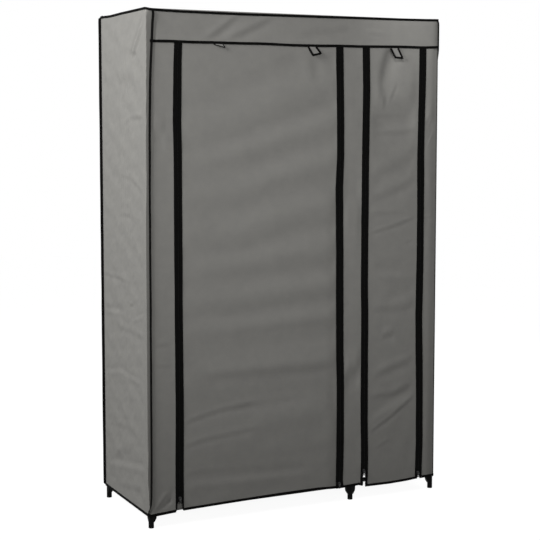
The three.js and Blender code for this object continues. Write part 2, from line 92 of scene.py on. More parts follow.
def plug(tree, made, inputs):
    """Each named input is linked to a socket, or set to a plain value"""
    for name, value in inputs.items():
        socket = made.inputs[name]
        if isinstance(value, bpy.types.NodeSocket):
            tree.links.new(value, socket)
        else:
            socket.default_value = value


def node(tree, kind, inputs=None, **settings):
    made = tree.nodes.new(kind)
    for name, value in settings.items():
        setattr(made, name, value)
    plug(tree, made, inputs or {})
    return made


def finish_named(name):
    material = bpy.data.materials.new(name)
    material.use_nodes = True
    tree = material.node_tree
    return material, tree, tree.nodes["Principled BSDF"]


# %% [markdown]
# Light and floor: plain studio softboxes. The floor and the world are white to the camera and to
# glossy rays only, so they make the white background without flooding the cloth with light.

# %% Floor, world and lamps
def white_to_camera(tree):
    path = node(tree, "ShaderNodeLightPath").outputs
    seen = path["Is Camera Ray"]
    for ray in ("Is Glossy Ray", "Is Transmission Ray"):
        seen = node(tree, "ShaderNodeMath", {0: seen, 1: path[ray]}, operation="MAXIMUM").outputs[0]
    return seen


white = linear("#ffffff")
world = bpy.data.worlds.new("studio")
bpy.context.scene.world = world
world.use_nodes = True
sky = world.node_tree
sky.nodes.clear()
seen_white = white_to_camera(sky)
soft_light = node(sky, "ShaderNodeBackground", {"Color": white, "Strength": 0.2})
white_back = node(sky, "ShaderNodeBackground", {"Color": white, "Strength": 1.0})
either = node(sky, "ShaderNodeMixShader", {0: seen_white, 1: soft_light.outputs[0],
                                           2: white_back.outputs[0]})
node(sky, "ShaderNodeOutputWorld", {"Surface": either.outputs[0]})

floor_finish, floor_tree, floor_shader = finish_named("pale studio floor")
plug(floor_tree, floor_shader, {"Base Color": linear("#606060"), "Roughness": 0.9,
                                "Specular IOR Level": 0.1})
floor_glow = node(floor_tree, "ShaderNodeEmission", {"Color": white, "Strength": 0.94})
floor_sum = node(floor_tree, "ShaderNodeAddShader", {0: floor_shader.outputs[0],
                                                     1: floor_glow.outputs[0]})
floor_mix = node(floor_tree, "ShaderNodeMixShader", {0: white_to_camera(floor_tree),
                                                     1: floor_shader.outputs[0],
                                                     2: floor_sum.outputs[0]})
plug(floor_tree, floor_tree.nodes["Material Output"], {"Surface": floor_mix.outputs[0]})
floor_mesh = bpy.data.meshes.new("floor")
floor_mesh.from_pydata([(-9, -9, 0), (9, -9, 0), (9, 9, 0), (-9, 9, 0)], [], [(0, 1, 2, 3)])
floor_mesh.materials.append(floor_finish)
floor = bpy.data.objects.new("floor", floor_mesh)
bpy.context.collection.objects.link(floor)


def softbox(name, place, aim, size, watts, spread=180):
    data = bpy.data.lights.new(name, "AREA")
    data.spread = math.radians(spread)
    data.shape, data.size, data.size_y, data.energy = "RECTANGLE", size[0], size[1], watts
    lamp = bpy.data.objects.new(name, data)
    lamp.location = place
    lamp.rotation_euler = (Vector(aim) - Vector(place)).to_track_quat("-Z", "Y").to_euler()
    bpy.context.collection.objects.link(lamp)


softbox("left key", (-3.98, -0.94, 3.3), (-0.3, -0.15, 3.99), (1.8, 1.8), 317)
softbox("front fill", (-0.3, -2.19, 1.09), (0.1, -0.2, 2.75), (1.4, 1.0), 25)
softbox("upper right accent", (-0.1, -1.0, 2.5), (0.49, -0.22, 1.68), (0.12, 0.12), 0.2, 27)
softbox("back fill", (2.4, 2.2, 2.4), (0.4, 0.2, 1.2), (1.6, 1.2), 45)

# %% [markdown]
# The cloth is spunbond polypropylene, the nonwoven felt of shopping bags: fine fibres laid at random
# and pressed together in a staggered grid of tiny dots. To the eye it is a matt grey with a faint
# cloudiness, and a dry sheen at grazing angles. Its pattern follows each panel's own UV map, which
# is written in metres.

# %% Spunbond polypropylene cloth
def spunbond(name, light_code, dark_code):
    material, tree, shader = finish_named(name)
    place = node(tree, "ShaderNodeUVMap", uv_map="UVMap").outputs[0]
    # Real fibres are far finer than a pixel, so theirs is drawn as a grain of about 1.6 mm
    clouds = node(tree, "ShaderNodeTexNoise", {"Vector": place, "Scale": 26.0, "Detail": 3.0,
                                               "Roughness": 0.6})
    fibres = node(tree, "ShaderNodeTexNoise", {"Vector": place, "Scale": 620.0, "Detail": 2.0,
                                               "Roughness": 0.7, "Distortion": 0.6})
    both = node(tree, "ShaderNodeMix", {"Factor": 0.42, "A": clouds.outputs[0],
                                        "B": fibres.outputs[0]}, data_type="FLOAT")
    tone = node(tree, "ShaderNodeValToRGB", {"Fac": both.outputs["Result"]})
    for stop, at_share, code in zip(tone.color_ramp.elements, (0.3, 0.7), (dark_code, light_code)):
        stop.position, stop.color = at_share, linear(code)
    # Bond dots 2 mm apart, a little coarser than real ones so that they show, in rows turned by 45
    # degrees
    turned = node(tree, "ShaderNodeMapping", {"Vector": place, "Rotation": (0, 0, math.pi / 4)})
    dots = node(tree, "ShaderNodeTexVoronoi", {"Vector": turned.outputs[0], "Scale": 500.0,
                                               "Randomness": 0.12})
    pressed = node(tree, "ShaderNodeMapRange", {"Value": dots.outputs["Distance"], "From Min": 0.18,
                                                "From Max": 0.38, "To Min": 0.0, "To Max": 1.0})
    relief = node(tree, "ShaderNodeMath", {0: pressed.outputs[0], 1: fibres.outputs[0]},
                  operation="ADD")
    bump = node(tree, "ShaderNodeBump", {"Height": relief.outputs[0], "Strength": 0.22,
                                         "Distance": 0.0002})
    dull = node(tree, "ShaderNodeMapRange", {"Value": fibres.outputs[0], "To Min": 0.8,
                                             "To Max": 0.95})
    plug(tree, shader, {
        "Base Color": tone.outputs[0], "Roughness": dull.outputs[0], "Normal": bump.outputs[0],
        "Specular IOR Level": 0.1, "Sheen Weight": 0.06, "Sheen Roughness": 0.5})
    return material


cloth_finish = spunbond("spunbond polypropylene cloth", "#807f7b", "#797875")
# The strap's tones are painted lighter than the cover's: a painted highlight for the light the straps catch
strap_painted_lighter_finish = spunbond("spunbond polypropylene strap, painted lighter", "#848380", "#7b7a77")
print("cloth finishes made")

# %% [markdown]
# The seams are wrapped in woven polyester tape, dyed black, with fine ribs across it. The zip tape
# is woven too, but in a herringbone, and the zip's teeth are two coils of nylon line, smoother and
# so a little shinier than the tape. All three are nearly black, and only their gloss differs.

# %% Woven tapes and nylon
def woven_black(name, code, rib, slant, roughness):
    material, tree, shader = finish_named(name)
    place = node(tree, "ShaderNodeUVMap", uv_map="UVMap").outputs[0]
    turned = node(tree, "ShaderNodeMapping", {"Vector": place, "Rotation": (0, 0, slant)})
    # A wave's bands lie pi / 10 of its scale apart: 0.63 mm for the binding, 0.88 mm for the tape
    ribs = node(tree, "ShaderNodeTexWave", {"Vector": turned.outputs[0], "Scale": 0.5 / (rib * MM),
                                            "Distortion": 0.4, "Detail": 1.0})
    fuzz = node(tree, "ShaderNodeTexNoise", {"Vector": place, "Scale": 900.0, "Detail": 2.0})
    tone = node(tree, "ShaderNodeMix", {"Factor": fuzz.outputs[0], "A": linear(code),
                                        "B": linear("#0e0e0d")}, data_type="RGBA")
    bump = node(tree, "ShaderNodeBump", {"Height": ribs.outputs["Fac"], "Strength": 0.5,
                                         "Distance": 0.0003})
    plug(tree, shader, {"Base Color": tone.outputs["Result"], "Normal": bump.outputs[0],
                        "Roughness": roughness, "Specular IOR Level": 0.04})
    return material


binding_finish = woven_black("woven polyester binding", "#060606", 1.0, 0.0, 0.9)
tape_finish = woven_black("herringbone zip tape", "#060606", 1.4, math.radians(35), 0.85)
nylon_finish, nylon_tree, nylon_shader = finish_named("nylon zip coil")
nylon_grain = node(nylon_tree, "ShaderNodeTexNoise", {
    "Vector": node(nylon_tree, "ShaderNodeTexCoord").outputs["Object"], "Scale": 300.0})
nylon_tone = node(nylon_tree, "ShaderNodeMix", {"Factor": nylon_grain.outputs[0],
                                                "A": linear("#050505"), "B": linear("#0c0c0c")},
                  data_type="RGBA")
plug(nylon_tree, nylon_shader, {"Base Color": nylon_tone.outputs["Result"], "Roughness": 0.42,
                                "Specular IOR Level": 0.05})
print("black textiles made")

# %% [markdown]
# The tubes are powder-coated steel: the powder melts to a satin skin with a slight orange peel, a
# ripple about half a millimetre across. The connectors are moulded polypropylene, duller and finely
# grained. The zip sliders are zinc die castings, painted black and rubbed on their high spots.

# %% Coated steel, moulded plastic and painted zinc
def hard_finish(name, code, second_code, grain, height, roughness, gleam, metallic=0.0):
    material, tree, shader = finish_named(name)
    place = node(tree, "ShaderNodeTexCoord").outputs["Object"]
    peel = node(tree, "ShaderNodeTexNoise", {"Vector": place, "Scale": 1 / (grain * MM),
                                             "Detail": 2.0})
    patches = node(tree, "ShaderNodeTexNoise", {"Vector": place, "Scale": 45.0, "Detail": 3.0})
    tone = node(tree, "ShaderNodeMix", {"Factor": patches.outputs[0], "A": linear(code),
                                        "B": linear(second_code)}, data_type="RGBA")
    gloss = node(tree, "ShaderNodeMapRange", {"Value": patches.outputs[0],
                                              "To Min": roughness - 0.06, "To Max": roughness + 0.08})
    bump = node(tree, "ShaderNodeBump", {"Height": peel.outputs[0], "Strength": 0.35,
                                         "Distance": height * MM})
    plug(tree, shader, {
        "Base Color": tone.outputs["Result"], "Roughness": gloss.outputs[0],
        "Normal": bump.outputs[0], "Metallic": metallic, "Specular IOR Level": gleam})
    return material


steel_finish = hard_finish("powder-coated steel", "#141414", "#1b1b1b", 0.6, 0.12, 0.38, 0.35)
plastic_finish = hard_finish("moulded polypropylene", "#050505", "#0a0a0a", 0.9, 0.08, 0.6, 0.05)
zinc_finish = hard_finish("painted zinc die casting", "#1a1a1a", "#3a3a3a", 1.2, 0.1, 0.32, 0.5, 0.6)
print("hard finishes made")

# %% [markdown]
# Every panel of the cover lies on one outline, a rectangle with rounded upright corners just outside
# the posts. A place on it is a distance s along it from the front-left corner, so a seam that wanders
# is just a distance that changes with height. Negative distances run back along the left side.

# %% The outline of the cover
post_x, middle_x, post_y = 562.9, 216.0, 209.8
half_width, half_depth, cover_top, corner_radius = 573.8, 223.8, 1748.8, 10.9
hem_low, hem_high, band_seam = 48.0, 57.0, 1640.0
inner_x, inner_y = half_width - corner_radius, half_depth - corner_radius
straight_x, straight_y = 2 * inner_x, 2 * inner_y
corner_arc = corner_radius * math.pi / 2
whole_loop = 2 * (straight_x + straight_y) + 4 * corner_arc


def outline(s):
    """The place in x and y at each distance, and the direction that faces out there"""
    s = np.mod(np.asarray(s, float), whole_loop)
    point, normal = np.zeros((2,) + s.shape), np.zeros((2,) + s.shape)
    centres = [(inner_x, -inner_y), (inner_x, inner_y), (-inner_x, inner_y), (-inner_x, -inner_y)]
    start = 0.0
    for side in range(4):
        length = (straight_x, straight_y)[side % 2]
        past = s - start - length
        here = (s >= start) & (past < corner_arc)
        angle = side * math.pi / 2 + np.clip(past, 0, None) / corner_radius
        along = np.clip(past, None, 0)
        out = (np.sin(angle), -np.cos(angle))
        ahead = (math.cos(side * math.pi / 2), math.sin(side * math.pi / 2))
        for k in (0, 1):
            value = centres[side][k] + corner_radius * out[k] + along * ahead[k]
            point[k] = np.where(here, value, point[k])
            normal[k] = np.where(here, out[k], normal[k])
        start += length + corner_arc
    return point, normal


def on_cover(s, z, lift=0.0):
    """A line or a grid on the cover: its points, its facing, and that it doesn't close"""
    s, z = np.broadcast_arrays(np.asarray(s, float), np.asarray(z, float))
    point, normal = outline(s)
    points = np.stack([point[0] + normal[0] * lift, point[1] + normal[1] * lift, z], -1)
    return points, np.stack([normal[0], normal[1], 0 * z], -1), False


def at(value, where):
    """A seam's place or a height there: a plain number, or one that changes along the way"""
    return value(where) if callable(value) else np.full_like(where, value)


def front(x):
    return x + half_width - corner_radius


print("outline", round(whole_loop), "mm round")

# %% [markdown]
# The sewn lines wander a few millimetres, as they do on the real cover. The left front seam starts on
# the front face at the top and drifts to the corner at the hem. The zips snake. The hems of the two
# doors hang at slightly different heights, and the top edge sags between the posts.

# %% Seams, hems and zips that wander
def along_heights(*pairs):
    heights, values = zip(*sorted(pairs))
    return lambda z: np.interp(z, heights, values)


def along_front(*pairs):
    places, values = zip(*sorted((front(x), value) for x, value in pairs))
    return lambda s: np.interp(s, places, values)


left_seam = along_heights((1750, 14.0), (1710, 14.0), (1650, 11.5), (1600, 8.0), (1540, 4.5),
                          (1510, 3.2), (1330, -0.5), (1020, -2.4), (300, -2.8), (110, -4.5),
                          (78, -7.0), (44, -17.0))
right_seam = straight_x + corner_arc / 2
rear_right_seam = right_seam + corner_arc + straight_y
rear_left_seam = -1.5 * corner_arc - straight_y
band_rise = along_front((-575, 0), (20, 0), (250, 2.5), (400, 4.5), (500, 4.5), (575, 8.5))
sag_round = along_front((-1003, 0), (-908, 2.8), (-800, 1.0), (-660, 0.4), (-575, 0), (-556, 3.8),
                        (-450, 6.5), (-230, 7.6), (85, 5.3), (250, 3.8), (415, 3.0), (520, 1.5),
                        (575, 0))
zip_places = [-463.5, 161.0, 264.0, 498.5]
zip_waves = [
    along_heights((1650, 4.5), (1560, 1.5), (1380, -1.6), (1260, 0.4), (900, 0.2), (420, 1.8),
                  (180, 0.4), (48, 0.0)),
    along_heights((1650, -4.5), (1500, -2.0), (1340, 0.5), (1260, 1.0), (1140, -3.4), (900, -0.8),
                  (540, 1.8), (420, 4.6), (180, 4.2), (80, 2.0), (48, 4.0)),
    along_heights((1650, 0.5), (1500, 3.4), (1300, 1.4), (1020, -0.6), (780, -0.6), (660, 1.6),
                  (300, 1.0), (150, 4.4), (90, 3.0), (48, 1.5)),
    along_heights((1650, 5.6), (1500, 4.6), (1260, 0.8), (900, 2.6), (660, -0.8), (420, 4.0),
                  (180, 6.0), (90, 3.2), (48, 3.0)),
]


def top_sag(s):
    return sag_round(np.where(s > 1700, s - whole_loop, s))


def zip_line(number):
    return lambda z: front(zip_places[number]) + zip_waves[number](z)


# Below its slider each zip is open: how far its two halves stand from the middle, door side first
zip_spread = [
    (along_heights((96, 0.3), (88, 5.5), (75, 9.0), (48, 12.5)),
     along_heights((96, 0.3), (88, 5.0), (75, 8.5), (48, 12.0))),
    (along_heights((66, 0.3), (48, 0.6)), along_heights((66, 0.3), (48, 0.6))),
    (along_heights((98, 0.3), (93, 4.0), (70, 5.0), (48, 5.5)),
     along_heights((98, 0.3), (93, 4.2), (72, 4.8), (64, 3.2), (48, 3.8))),
    (along_heights((64, 0.3), (48, 4.0)), along_heights((64, 0.3), (58, 3.0), (48, 4.5))),
]
tape_width = 15.0
door_hem = along_front((-463, 48), (-430, 49), (-275, 52), (-75, 55), (75, 55), (140, 51.5),
                       (190, 50), (250, 52), (270, 43), (375, 41), (450, 43), (490, 46), (575, 47))
print("zips at", zip_places)

# %% [markdown]
# Folds are the cloth's displacement out of the outline. They are written one by one, where the
# photograph shows them: a ridge from end to end, or a step, where the cloth comes forward on its upper
# side and so is dark on the line and lighter beside it. A sum of sine waves in random directions, with
# a fixed seed, adds the small ripples that no one would place by hand.

# %% Folds and ripples
wave_count = 16


def drag_folds(s, z, folds):
    """Each fold is its two ends, s and z each, then its spread and its rise"""
    total = np.zeros_like(s)
    for s1, z1, s2, z2, spread, rise in folds:
        run_s, run_z = s2 - s1, z2 - z1
        share = np.clip(((s - s1) * run_s + (z - z1) * run_z) / (run_s**2 + run_z**2), 0, 1)
        away = np.hypot(s - s1 - share * run_s, z - z1 - share * run_z) / spread
        total += rise * np.exp(-away**2)
    return total


def steps_up(s, z, steps, steep=False):
    """Each step is its rise, its spread, and places (s, z) along it, or (z, s) if it is steep"""
    total = np.zeros_like(s)
    along, over = (z, s) if steep else (s, z)
    for rise, spread, *places in steps:
        places, heights = zip(*places)
        reach = min(70, (places[-1] - places[0]) / 2)
        away = (over - np.interp(along, places, heights)) / spread
        ends = ease((along - places[0]) / reach + 0.4) * ease((places[-1] - along) / reach + 0.4)
        total += (-rise if steep else rise) * away * np.exp(-away**2) * ends
    return total


def following(s, z, lines, rise):
    """Folds that follow each other up the cloth: dark on each line, light between two of them"""
    heights = [np.interp(s, *zip(*line)) for line in lines]
    count = sum(np.clip((z - low) / (high - low), 0, 1) for low, high in zip(heights, heights[1:]))
    return rise * np.sin(2 * math.pi * count)


def ripples(s, z, seed, shortest, longest, height, stretch=1.0):
    """Waves of many lengths, drawn out in z by the stretch"""
    draw = np.random.default_rng(seed)
    total = np.zeros_like(s)
    for _ in range(wave_count):
        length = shortest * (longest / shortest) ** draw.random()
        angle, phase = draw.uniform(0, math.pi), draw.uniform(0, 2 * math.pi)
        turn = math.cos(angle) * s + math.sin(angle) * z / stretch
        total += (length / longest) * np.sin(2 * math.pi / length * turn + phase)
    return height * total / math.sqrt(wave_count / 2)


def ease(value):
    value = np.clip(value, 0, 1)
    return value * value * (3 - 2 * value)


# %% [markdown]
# A panel is a fine grid between two seams and two heights, pushed out by its folds. Its rows and
# columns give it a UV map in real sizes. Solidify gives it the thickness of doubled nonwoven, and the
# result is turned to a plain mesh, with its cut edge kept sharp.

# %% Panels
cloth_thickness, thin_cloth, tape_thickness, mid_height = 0.9, 0.8, 0.6, 800.0


def new_object(name, mesh):
    made = bpy.data.objects.new(name, mesh)
    bpy.context.collection.objects.link(made)
    return made


def settled(piece, angle=40):
    """The piece with its modifiers made into a plain mesh, smooth but for edges past the angle"""
    ready = piece.evaluated_get(bpy.context.evaluated_depsgraph_get())
    mesh = bpy.data.meshes.new_from_object(ready)
    piece.modifiers.clear()
    piece.data = mesh
    mesh.polygons.foreach_set("use_smooth", [True] * len(mesh.polygons))
    mesh.set_sharp_from_angle(angle=math.radians(angle))
    return piece


def sheet_mesh(name, points, places, material, thickness):
    """points and places are grids of rows by columns: the surface, and its UV map in millimetres."""
    rows, columns = points.shape[:2]
    corner = np.arange(rows * columns).reshape(rows, columns)
    quads = np.stack([corner[:-1, :-1], corner[:-1, 1:], corner[1:, 1:], corner[1:, :-1]], -1)
    quads = quads.reshape(-1, 4)
    mesh = bpy.data.meshes.new(name)
    mesh.from_pydata((points.reshape(-1, 3) * MM).tolist(), [], quads.tolist())
    flat = mesh.uv_layers.new(name="UVMap")
    flat.data.foreach_set("uv", (places.reshape(-1, 2)[quads.ravel()] * MM).ravel())
    mesh.materials.append(material)
    piece = new_object(name, mesh)
    wall = piece.modifiers.new("thickness", "SOLIDIFY")
    wall.thickness, wall.offset = thickness * MM, -1
    return settled(piece)


def panel(name, left, right, low, high, folds, step=9.0, columns=None, material=cloth_finish,
          thickness=cloth_thickness):
    """step is the size of the grid's cells, and columns are shares of the width, if they are uneven"""
    begin, end = (at(edge, np.array(mid_height)) for edge in (left, right))
    bottom, top = (float(at(edge, np.array((begin + end) / 2))) for edge in (low, high))
    if columns is None:
        columns = np.linspace(0, 1, max(2, round(float(end - begin) / step) + 1))
    across = columns[None, :]
    up = np.linspace(0, 1, max(2, round((top - bottom) / step) + 1))[:, None]
    guess = bottom + (top - bottom) * up + 0 * across
    s = at(left, guess) + (at(right, guess) - at(left, guess)) * across
    z = at(low, s) + (at(high, s) - at(low, s)) * up
    points, _, _ = on_cover(s, z, folds(s, z))
    return sheet_mesh(name, points, np.stack([s, z], -1), material, thickness)


def held(s, z, left, right, low, high, reach=45.0):
    """1 in the middle of a panel, falling to 0 at its seams"""
    return ease((s - left) / reach) * ease((right - s) / reach) * ease((z - low) / reach) * ease(
        (high - z) / reach)


# %% [markdown]
# The fixed panels. The side cloth is drawn tight round the corner post and dips into the front seam,
# which makes the dark rounded strip beside the seam. At the right front corner the cloth falls back
# towards the post in a soft roll. The band's lower edge stands a little proud of its seam.

# %% The fixed panels of the cover
ridge = 1.0


def sunk_strip(s, z):
    """The plane that falls back from the corner's ridge, as a distance out of the outline"""
    fall = np.radians(np.interp(z, (1300, 1540, 1640, 1700, 1728), (22, 18, 14, 12, 6)))
    turn = np.radians(np.clip(-s / corner_arc * 90, 0, 90))
    start = (corner_radius + ridge) * np.cos(fall) - corner_radius * np.sin(fall)
    on_arc = start / np.cos(np.minimum(turn + fall, 1.45)) - corner_radius
    return np.where(s < 0, on_arc, ridge - (corner_radius + s) * np.tan(fall))


def corner_roll(s, z):
    """The cloth turns the corner sharply, and falls back from there to its seam"""
    turn = np.radians(np.clip(-s / corner_arc * 90, 0, 90))
    full = np.interp(z, (50, 170, 1050, 1400, 1600), (0, 6.0, 5.5, 2.5, 0))
    to_side = (corner_radius + full) / np.clip(np.sin(turn), 0.2, 1) - corner_radius
    sharp = -np.log(np.exp(-1.5 * to_side) + np.exp(-1.5 * sunk_strip(s, z))) / 1.5
    sharp = np.where(sharp > 0, sharp * ease((1747 - z) / 24), sharp)
    side = full * ease((s + corner_arc + 60) / 60)
    return np.where(s < -corner_arc, side, sharp) - 0.8 * ease(1 - (left_seam(z) - s) / 7)


def seam_depth(z):
    return np.minimum(sunk_strip(left_seam(z), z), 0) - 0.8


def side_folds(s, z):
    dip = corner_roll(s, z) - 1.4 * ease(1 - (s - rear_left_seam) / 34)
    free = held(s, z, rear_left_seam, -corner_arc, hem_high, cover_top, 40)
    creases = drag_folds(s, z, [
        (-14, 1722, -137, 1597, 4.5, 4.2), (-26, 1734, -148, 1606, 4.5, -2.8),
        (-4, 1712, -126, 1588, 5, -2.4), (-150, 1600, -108, 1596, 9, -4.0), (-240, 1650, -250, 900, 26, 0.9),
        (-180, 1600, -185, 1050, 22, -0.8), (-212, 620, -210, 380, 4, -0.5),
        (-438, 1340, -400, 1325, 7, 0.9), (-438, 1300, -395, 1288, 7, -0.9),
        (-438, 1240, -400, 1232, 8, 0.8), (-438, 1165, -405, 1160, 7, -0.8),
        (-60, 1560, -20, 1585, 8, 0.9), (-90, 725, -30, 738, 9, 0.8)])
    creases += steps_up(s, z, [
        (4.0, 12, (-200, 1372), (-150, 1388), (-12, 1390)), (6.5, 34, (-280, 1520), (-120, 1520)),
        (3.2, 16, (-260, 1190), (-150, 1180), (-20, 1130)), (2.9, 13, (-260, 1055), (-130, 1050)),
        (2.9, 11, (-430, 828), (-280, 828), (-180, 822)), (3.2, 8, (-185, 742), (-140, 750)),
        (-3.6, 12, (-430, 700), (-230, 712)), (-3.2, 10, (-150, 695), (-20, 735)),
        (3.6, 16, (-290, 655), (-20, 648)), (-2.9, 12, (-430, 470), (-280, 500), (-60, 490)),
        (3.6, 20, (-330, 300), (-130, 305)), (4.3, 26, (-330, 185), (-150, 250)),
        (-3.6, 16, (-380, 150), (-120, 190), (-20, 205)), (4.3, 24, (-300, 80), (-60, 120))])
    streaks = 0.45 * np.sin((s + 4 * np.sin(z / 90)) * 2 * math.pi / 7.3) + 0.8 * np.sin(
        (s + 3 * np.sin(z / 130 + 1)) * 2 * math.pi / 17)
    streaks = streaks * ease((s + 268) / 20) * ease((-148 - s) / 20) * ease((z - 900) / 200) * ease(
        (1600 - z) / 40)
    small = ripples(s, z, 3, 24, 130, 1.1, stretch=0.6) + ripples(s, z, 4, 9, 30, 0.06)
    return dip + free * (creases + streaks + small)


def band_folds(s, z):
    free = held(s, z, left_seam(z), right_seam, band_seam, cover_top, 28)
    lip = 1.3 * np.exp(-(((z - band_seam - 9) / 6) ** 2))
    creases = steps_up(s, z, [
        (4.2, 18, (190, 1640), (218, 1655), (308, 1720), (330, 1735)),
        (4.2, 18, (270, 1645), (298, 1655), (433, 1718), (460, 1730)),
        (2.6, 21, (560, 1680), (760, 1700))])
    creases += steps_up(s, z, [
        (2.0, 7, (832, 1718), (904, 1711)), (2.6, 8, (834, 1691), (900, 1684)),
        (1.8, 7, (826, 1665), (876, 1660))])
    roll = seam_depth(z) * ease(1 - (s - left_seam(z)) / 14) - 1.6 * ease(1 - (right_seam - s) / 20)
    return lip + roll + free * (creases + 2.4 * ease((s - 840) / 230)
                                + ripples(s, z, 11, 60, 240, 0.4) + ripples(s, z, 12, 10, 34, 0.05))


def stile_folds(s, z):
    free = held(s, z, left_seam(z), zip_line(0)(z) - 12, hem_low, band_seam, 26)
    creases = drag_folds(s, z, [
        (46, 112, 2, 60, 7, 2.2), (80, 96, 22, 56, 6, -2.0), (72, 118, 62, 84, 5, -1.8),
        (70, 500, 20, 430, 16, 0.5)])
    creases += steps_up(s, z, [(4.7, 39, (4, 1350), (50, 1335)), (1.4, 10, (4, 625), (80, 628)),
                               (1.4, 10, (4, 558), (80, 550))])
    roll = seam_depth(z) * ease(1 - (s - left_seam(z)) / 14)
    return roll + free * (creases + ripples(s, z, 21, 40, 160, 0.3, 1.8)
                          + ripples(s, z, 22, 9, 30, 0.05))


def strip_folds(s, z):
    free = held(s, z, zip_line(1)(z) + 12, zip_line(2)(z) - 12, hem_low, band_seam, 24)
    creases = drag_folds(s, z, [(745, 160, 815, 90, 12, 1.0)])
    creases += steps_up(s, z, [(7.3, 45, (735, 468), (815, 480)), (-4.2, 75, (735, 1080), (815, 1090))])
    return free * (creases + ripples(s, z, 31, 40, 180, 0.4, 2.2) + ripples(s, z, 32, 9, 30, 0.05))


def right_folds(s, z):
    back = -3.3 * np.clip((s - 1100) / 25, 0, 1) ** 2 + 0.9 * np.clip((s - 1125) / 10, 0, 1)
    back = back + 0.5 * np.exp(-(((s - 1096) / 13) ** 2))
    free = held(s, z, zip_line(3)(z) + 12, 1125, hem_low, band_seam, 20)
    creases = steps_up(s, z, [(3.6, 33, (1066, 1378), (1120, 1384)), (1.3, 8, (1066, 1022), (1120, 1028)),
                              (-1.8, 9, (1080, 1275), (1118, 1350)), (-1.4, 9, (1072, 1330), (1110, 1400))])
    return back + free * (creases + ripples(s, z, 41, 40, 160, 0.35, 1.8)
                          + ripples(s, z, 42, 9, 30, 0.05))


def quiet_folds(seed, left, right):
    def folds(s, z):
        free = held(s, z, left, right, hem_high, cover_top, 45)
        return free * (ripples(s, z, seed, 60, 320, 1.6, 2.4) + ripples(s, z, seed + 1, 12, 40, 0.15))
    return folds


def top_edge(s):
    return cover_top - 0.6 - top_sag(s)


def band_edge(s):
    return band_seam + band_rise(s)


fixed_hem = along_front((-1012, 48.0), (-580, 44.5), (-573, 45.0), (-463, 51.5), (210, 54.0),
                        (498, 50.4), (574, 51.4), (1000, 52.0))


def door_cut(s):
    """Where the cloth of a door ends, just above the fold of its hem"""
    return door_hem(s) + 4


def tape_side(number, side, gap):
    """A line beside a zip: side is -1 to the left of it and 1 to the right"""
    spread = zip_spread[number][0 if (number % 2 == 0) == (side > 0) else 1]
    return lambda z: zip_line(number)(z) + side * (spread(z) + gap)


# The side's columns stand closest where the fine streaks run and where the cloth turns the corner
side_columns = np.unique(np.concatenate([np.linspace(begin, end, count) for begin, end, count in (
    (0, 0.4, 34), (0.4, 0.68, 52), (0.68, 0.945, 24), (0.945, 1, 18))]))
tape_gap, plain_hem, plain_top = 1.5, 54, cover_top - 0.6
back_seams = rear_right_seam, whole_loop + rear_left_seam
panels = {name: panel(name, *rest) for name, *rest in (
    ("left_side_cloth", rear_left_seam, left_seam, fixed_hem, top_edge, side_folds, 5.2, side_columns),
    ("band_cloth", left_seam, right_seam, band_edge, top_edge, band_folds, 8.0),
    ("left_stile_cloth", left_seam, tape_side(0, -1, tape_gap), fixed_hem, band_edge, stile_folds, 6.0),
    ("middle_strip_cloth", tape_side(1, 1, tape_gap), tape_side(2, -1, tape_gap), door_cut, band_edge,
     strip_folds, 7.0),
    ("right_stile_cloth", tape_side(3, 1, tape_gap), right_seam, fixed_hem, band_edge, right_folds, 5.0),
    ("right_side_cloth", right_seam, rear_right_seam, plain_hem, plain_top,
     quiet_folds(51, right_seam, rear_right_seam)),
    ("back_cloth", *back_seams, plain_hem, plain_top, quiet_folds(61, *back_seams), 12.0))}
print({name: len(piece.data.polygons) for name, piece in panels.items()})

# %% [markdown]
# The top is one flat panel that lies on the upper tubes and sags a little between them. Its grid is
# square, except in the corners, where each small square of points is bent to a quarter disc.

# %% The top panel
def top_panel():
    corner_steps = np.linspace(0, corner_radius, 5)[1:]
    lines = []
    for inner in (inner_x, inner_y):
        straight = np.linspace(-inner, inner, round(2 * inner / 14) + 1)
        lines.append(np.concatenate([-inner - corner_steps[::-1], straight, inner + corner_steps]))
    x, y = np.meshgrid(*lines)
    past_x, past_y = np.clip(np.abs(x) - inner_x, 0, None), np.clip(np.abs(y) - inner_y, 0, None)
    in_corner = (past_x > 0) & (past_y > 0)
    reach = np.maximum(past_x, past_y)
    small = np.minimum(past_x, past_y) / np.where(reach > 0, reach, 1) * math.pi / 4
    angle = np.where(past_x >= past_y, small, math.pi / 2 - small)
    round_x = np.sign(x) * (inner_x + reach * np.cos(angle))
    round_y = np.sign(y) * (inner_y + reach * np.sin(angle))
    x, y = np.where(in_corner, round_x, x), np.where(in_corner, round_y, y)
    edge = ease((-y - half_depth + 16) / 16) * top_sag(x + half_width - corner_radius)
    side = ease((-x - half_width + 16) / 16) * top_sag(corner_radius - half_depth - corner_arc - y)
    free = ease((half_width - np.abs(x) - 24) / 50) * ease((half_depth - np.abs(y) - 24) / 45)
    free = free * ease((np.abs(x - middle_x) - 22) / 50)
    z = cover_top - 0.1 - np.maximum(edge, side)
    z = z + free * (-5.0 + ripples(x, y, 71, 60, 260, 1.2))
    return sheet_mesh("top_cloth", np.stack([x, y, z], -1), np.stack([x, y], -1), cloth_finish,
                      cloth_thickness)


panels["top_cloth"] = top_panel()
print("top panel", len(panels["top_cloth"].data.polygons), "faces")
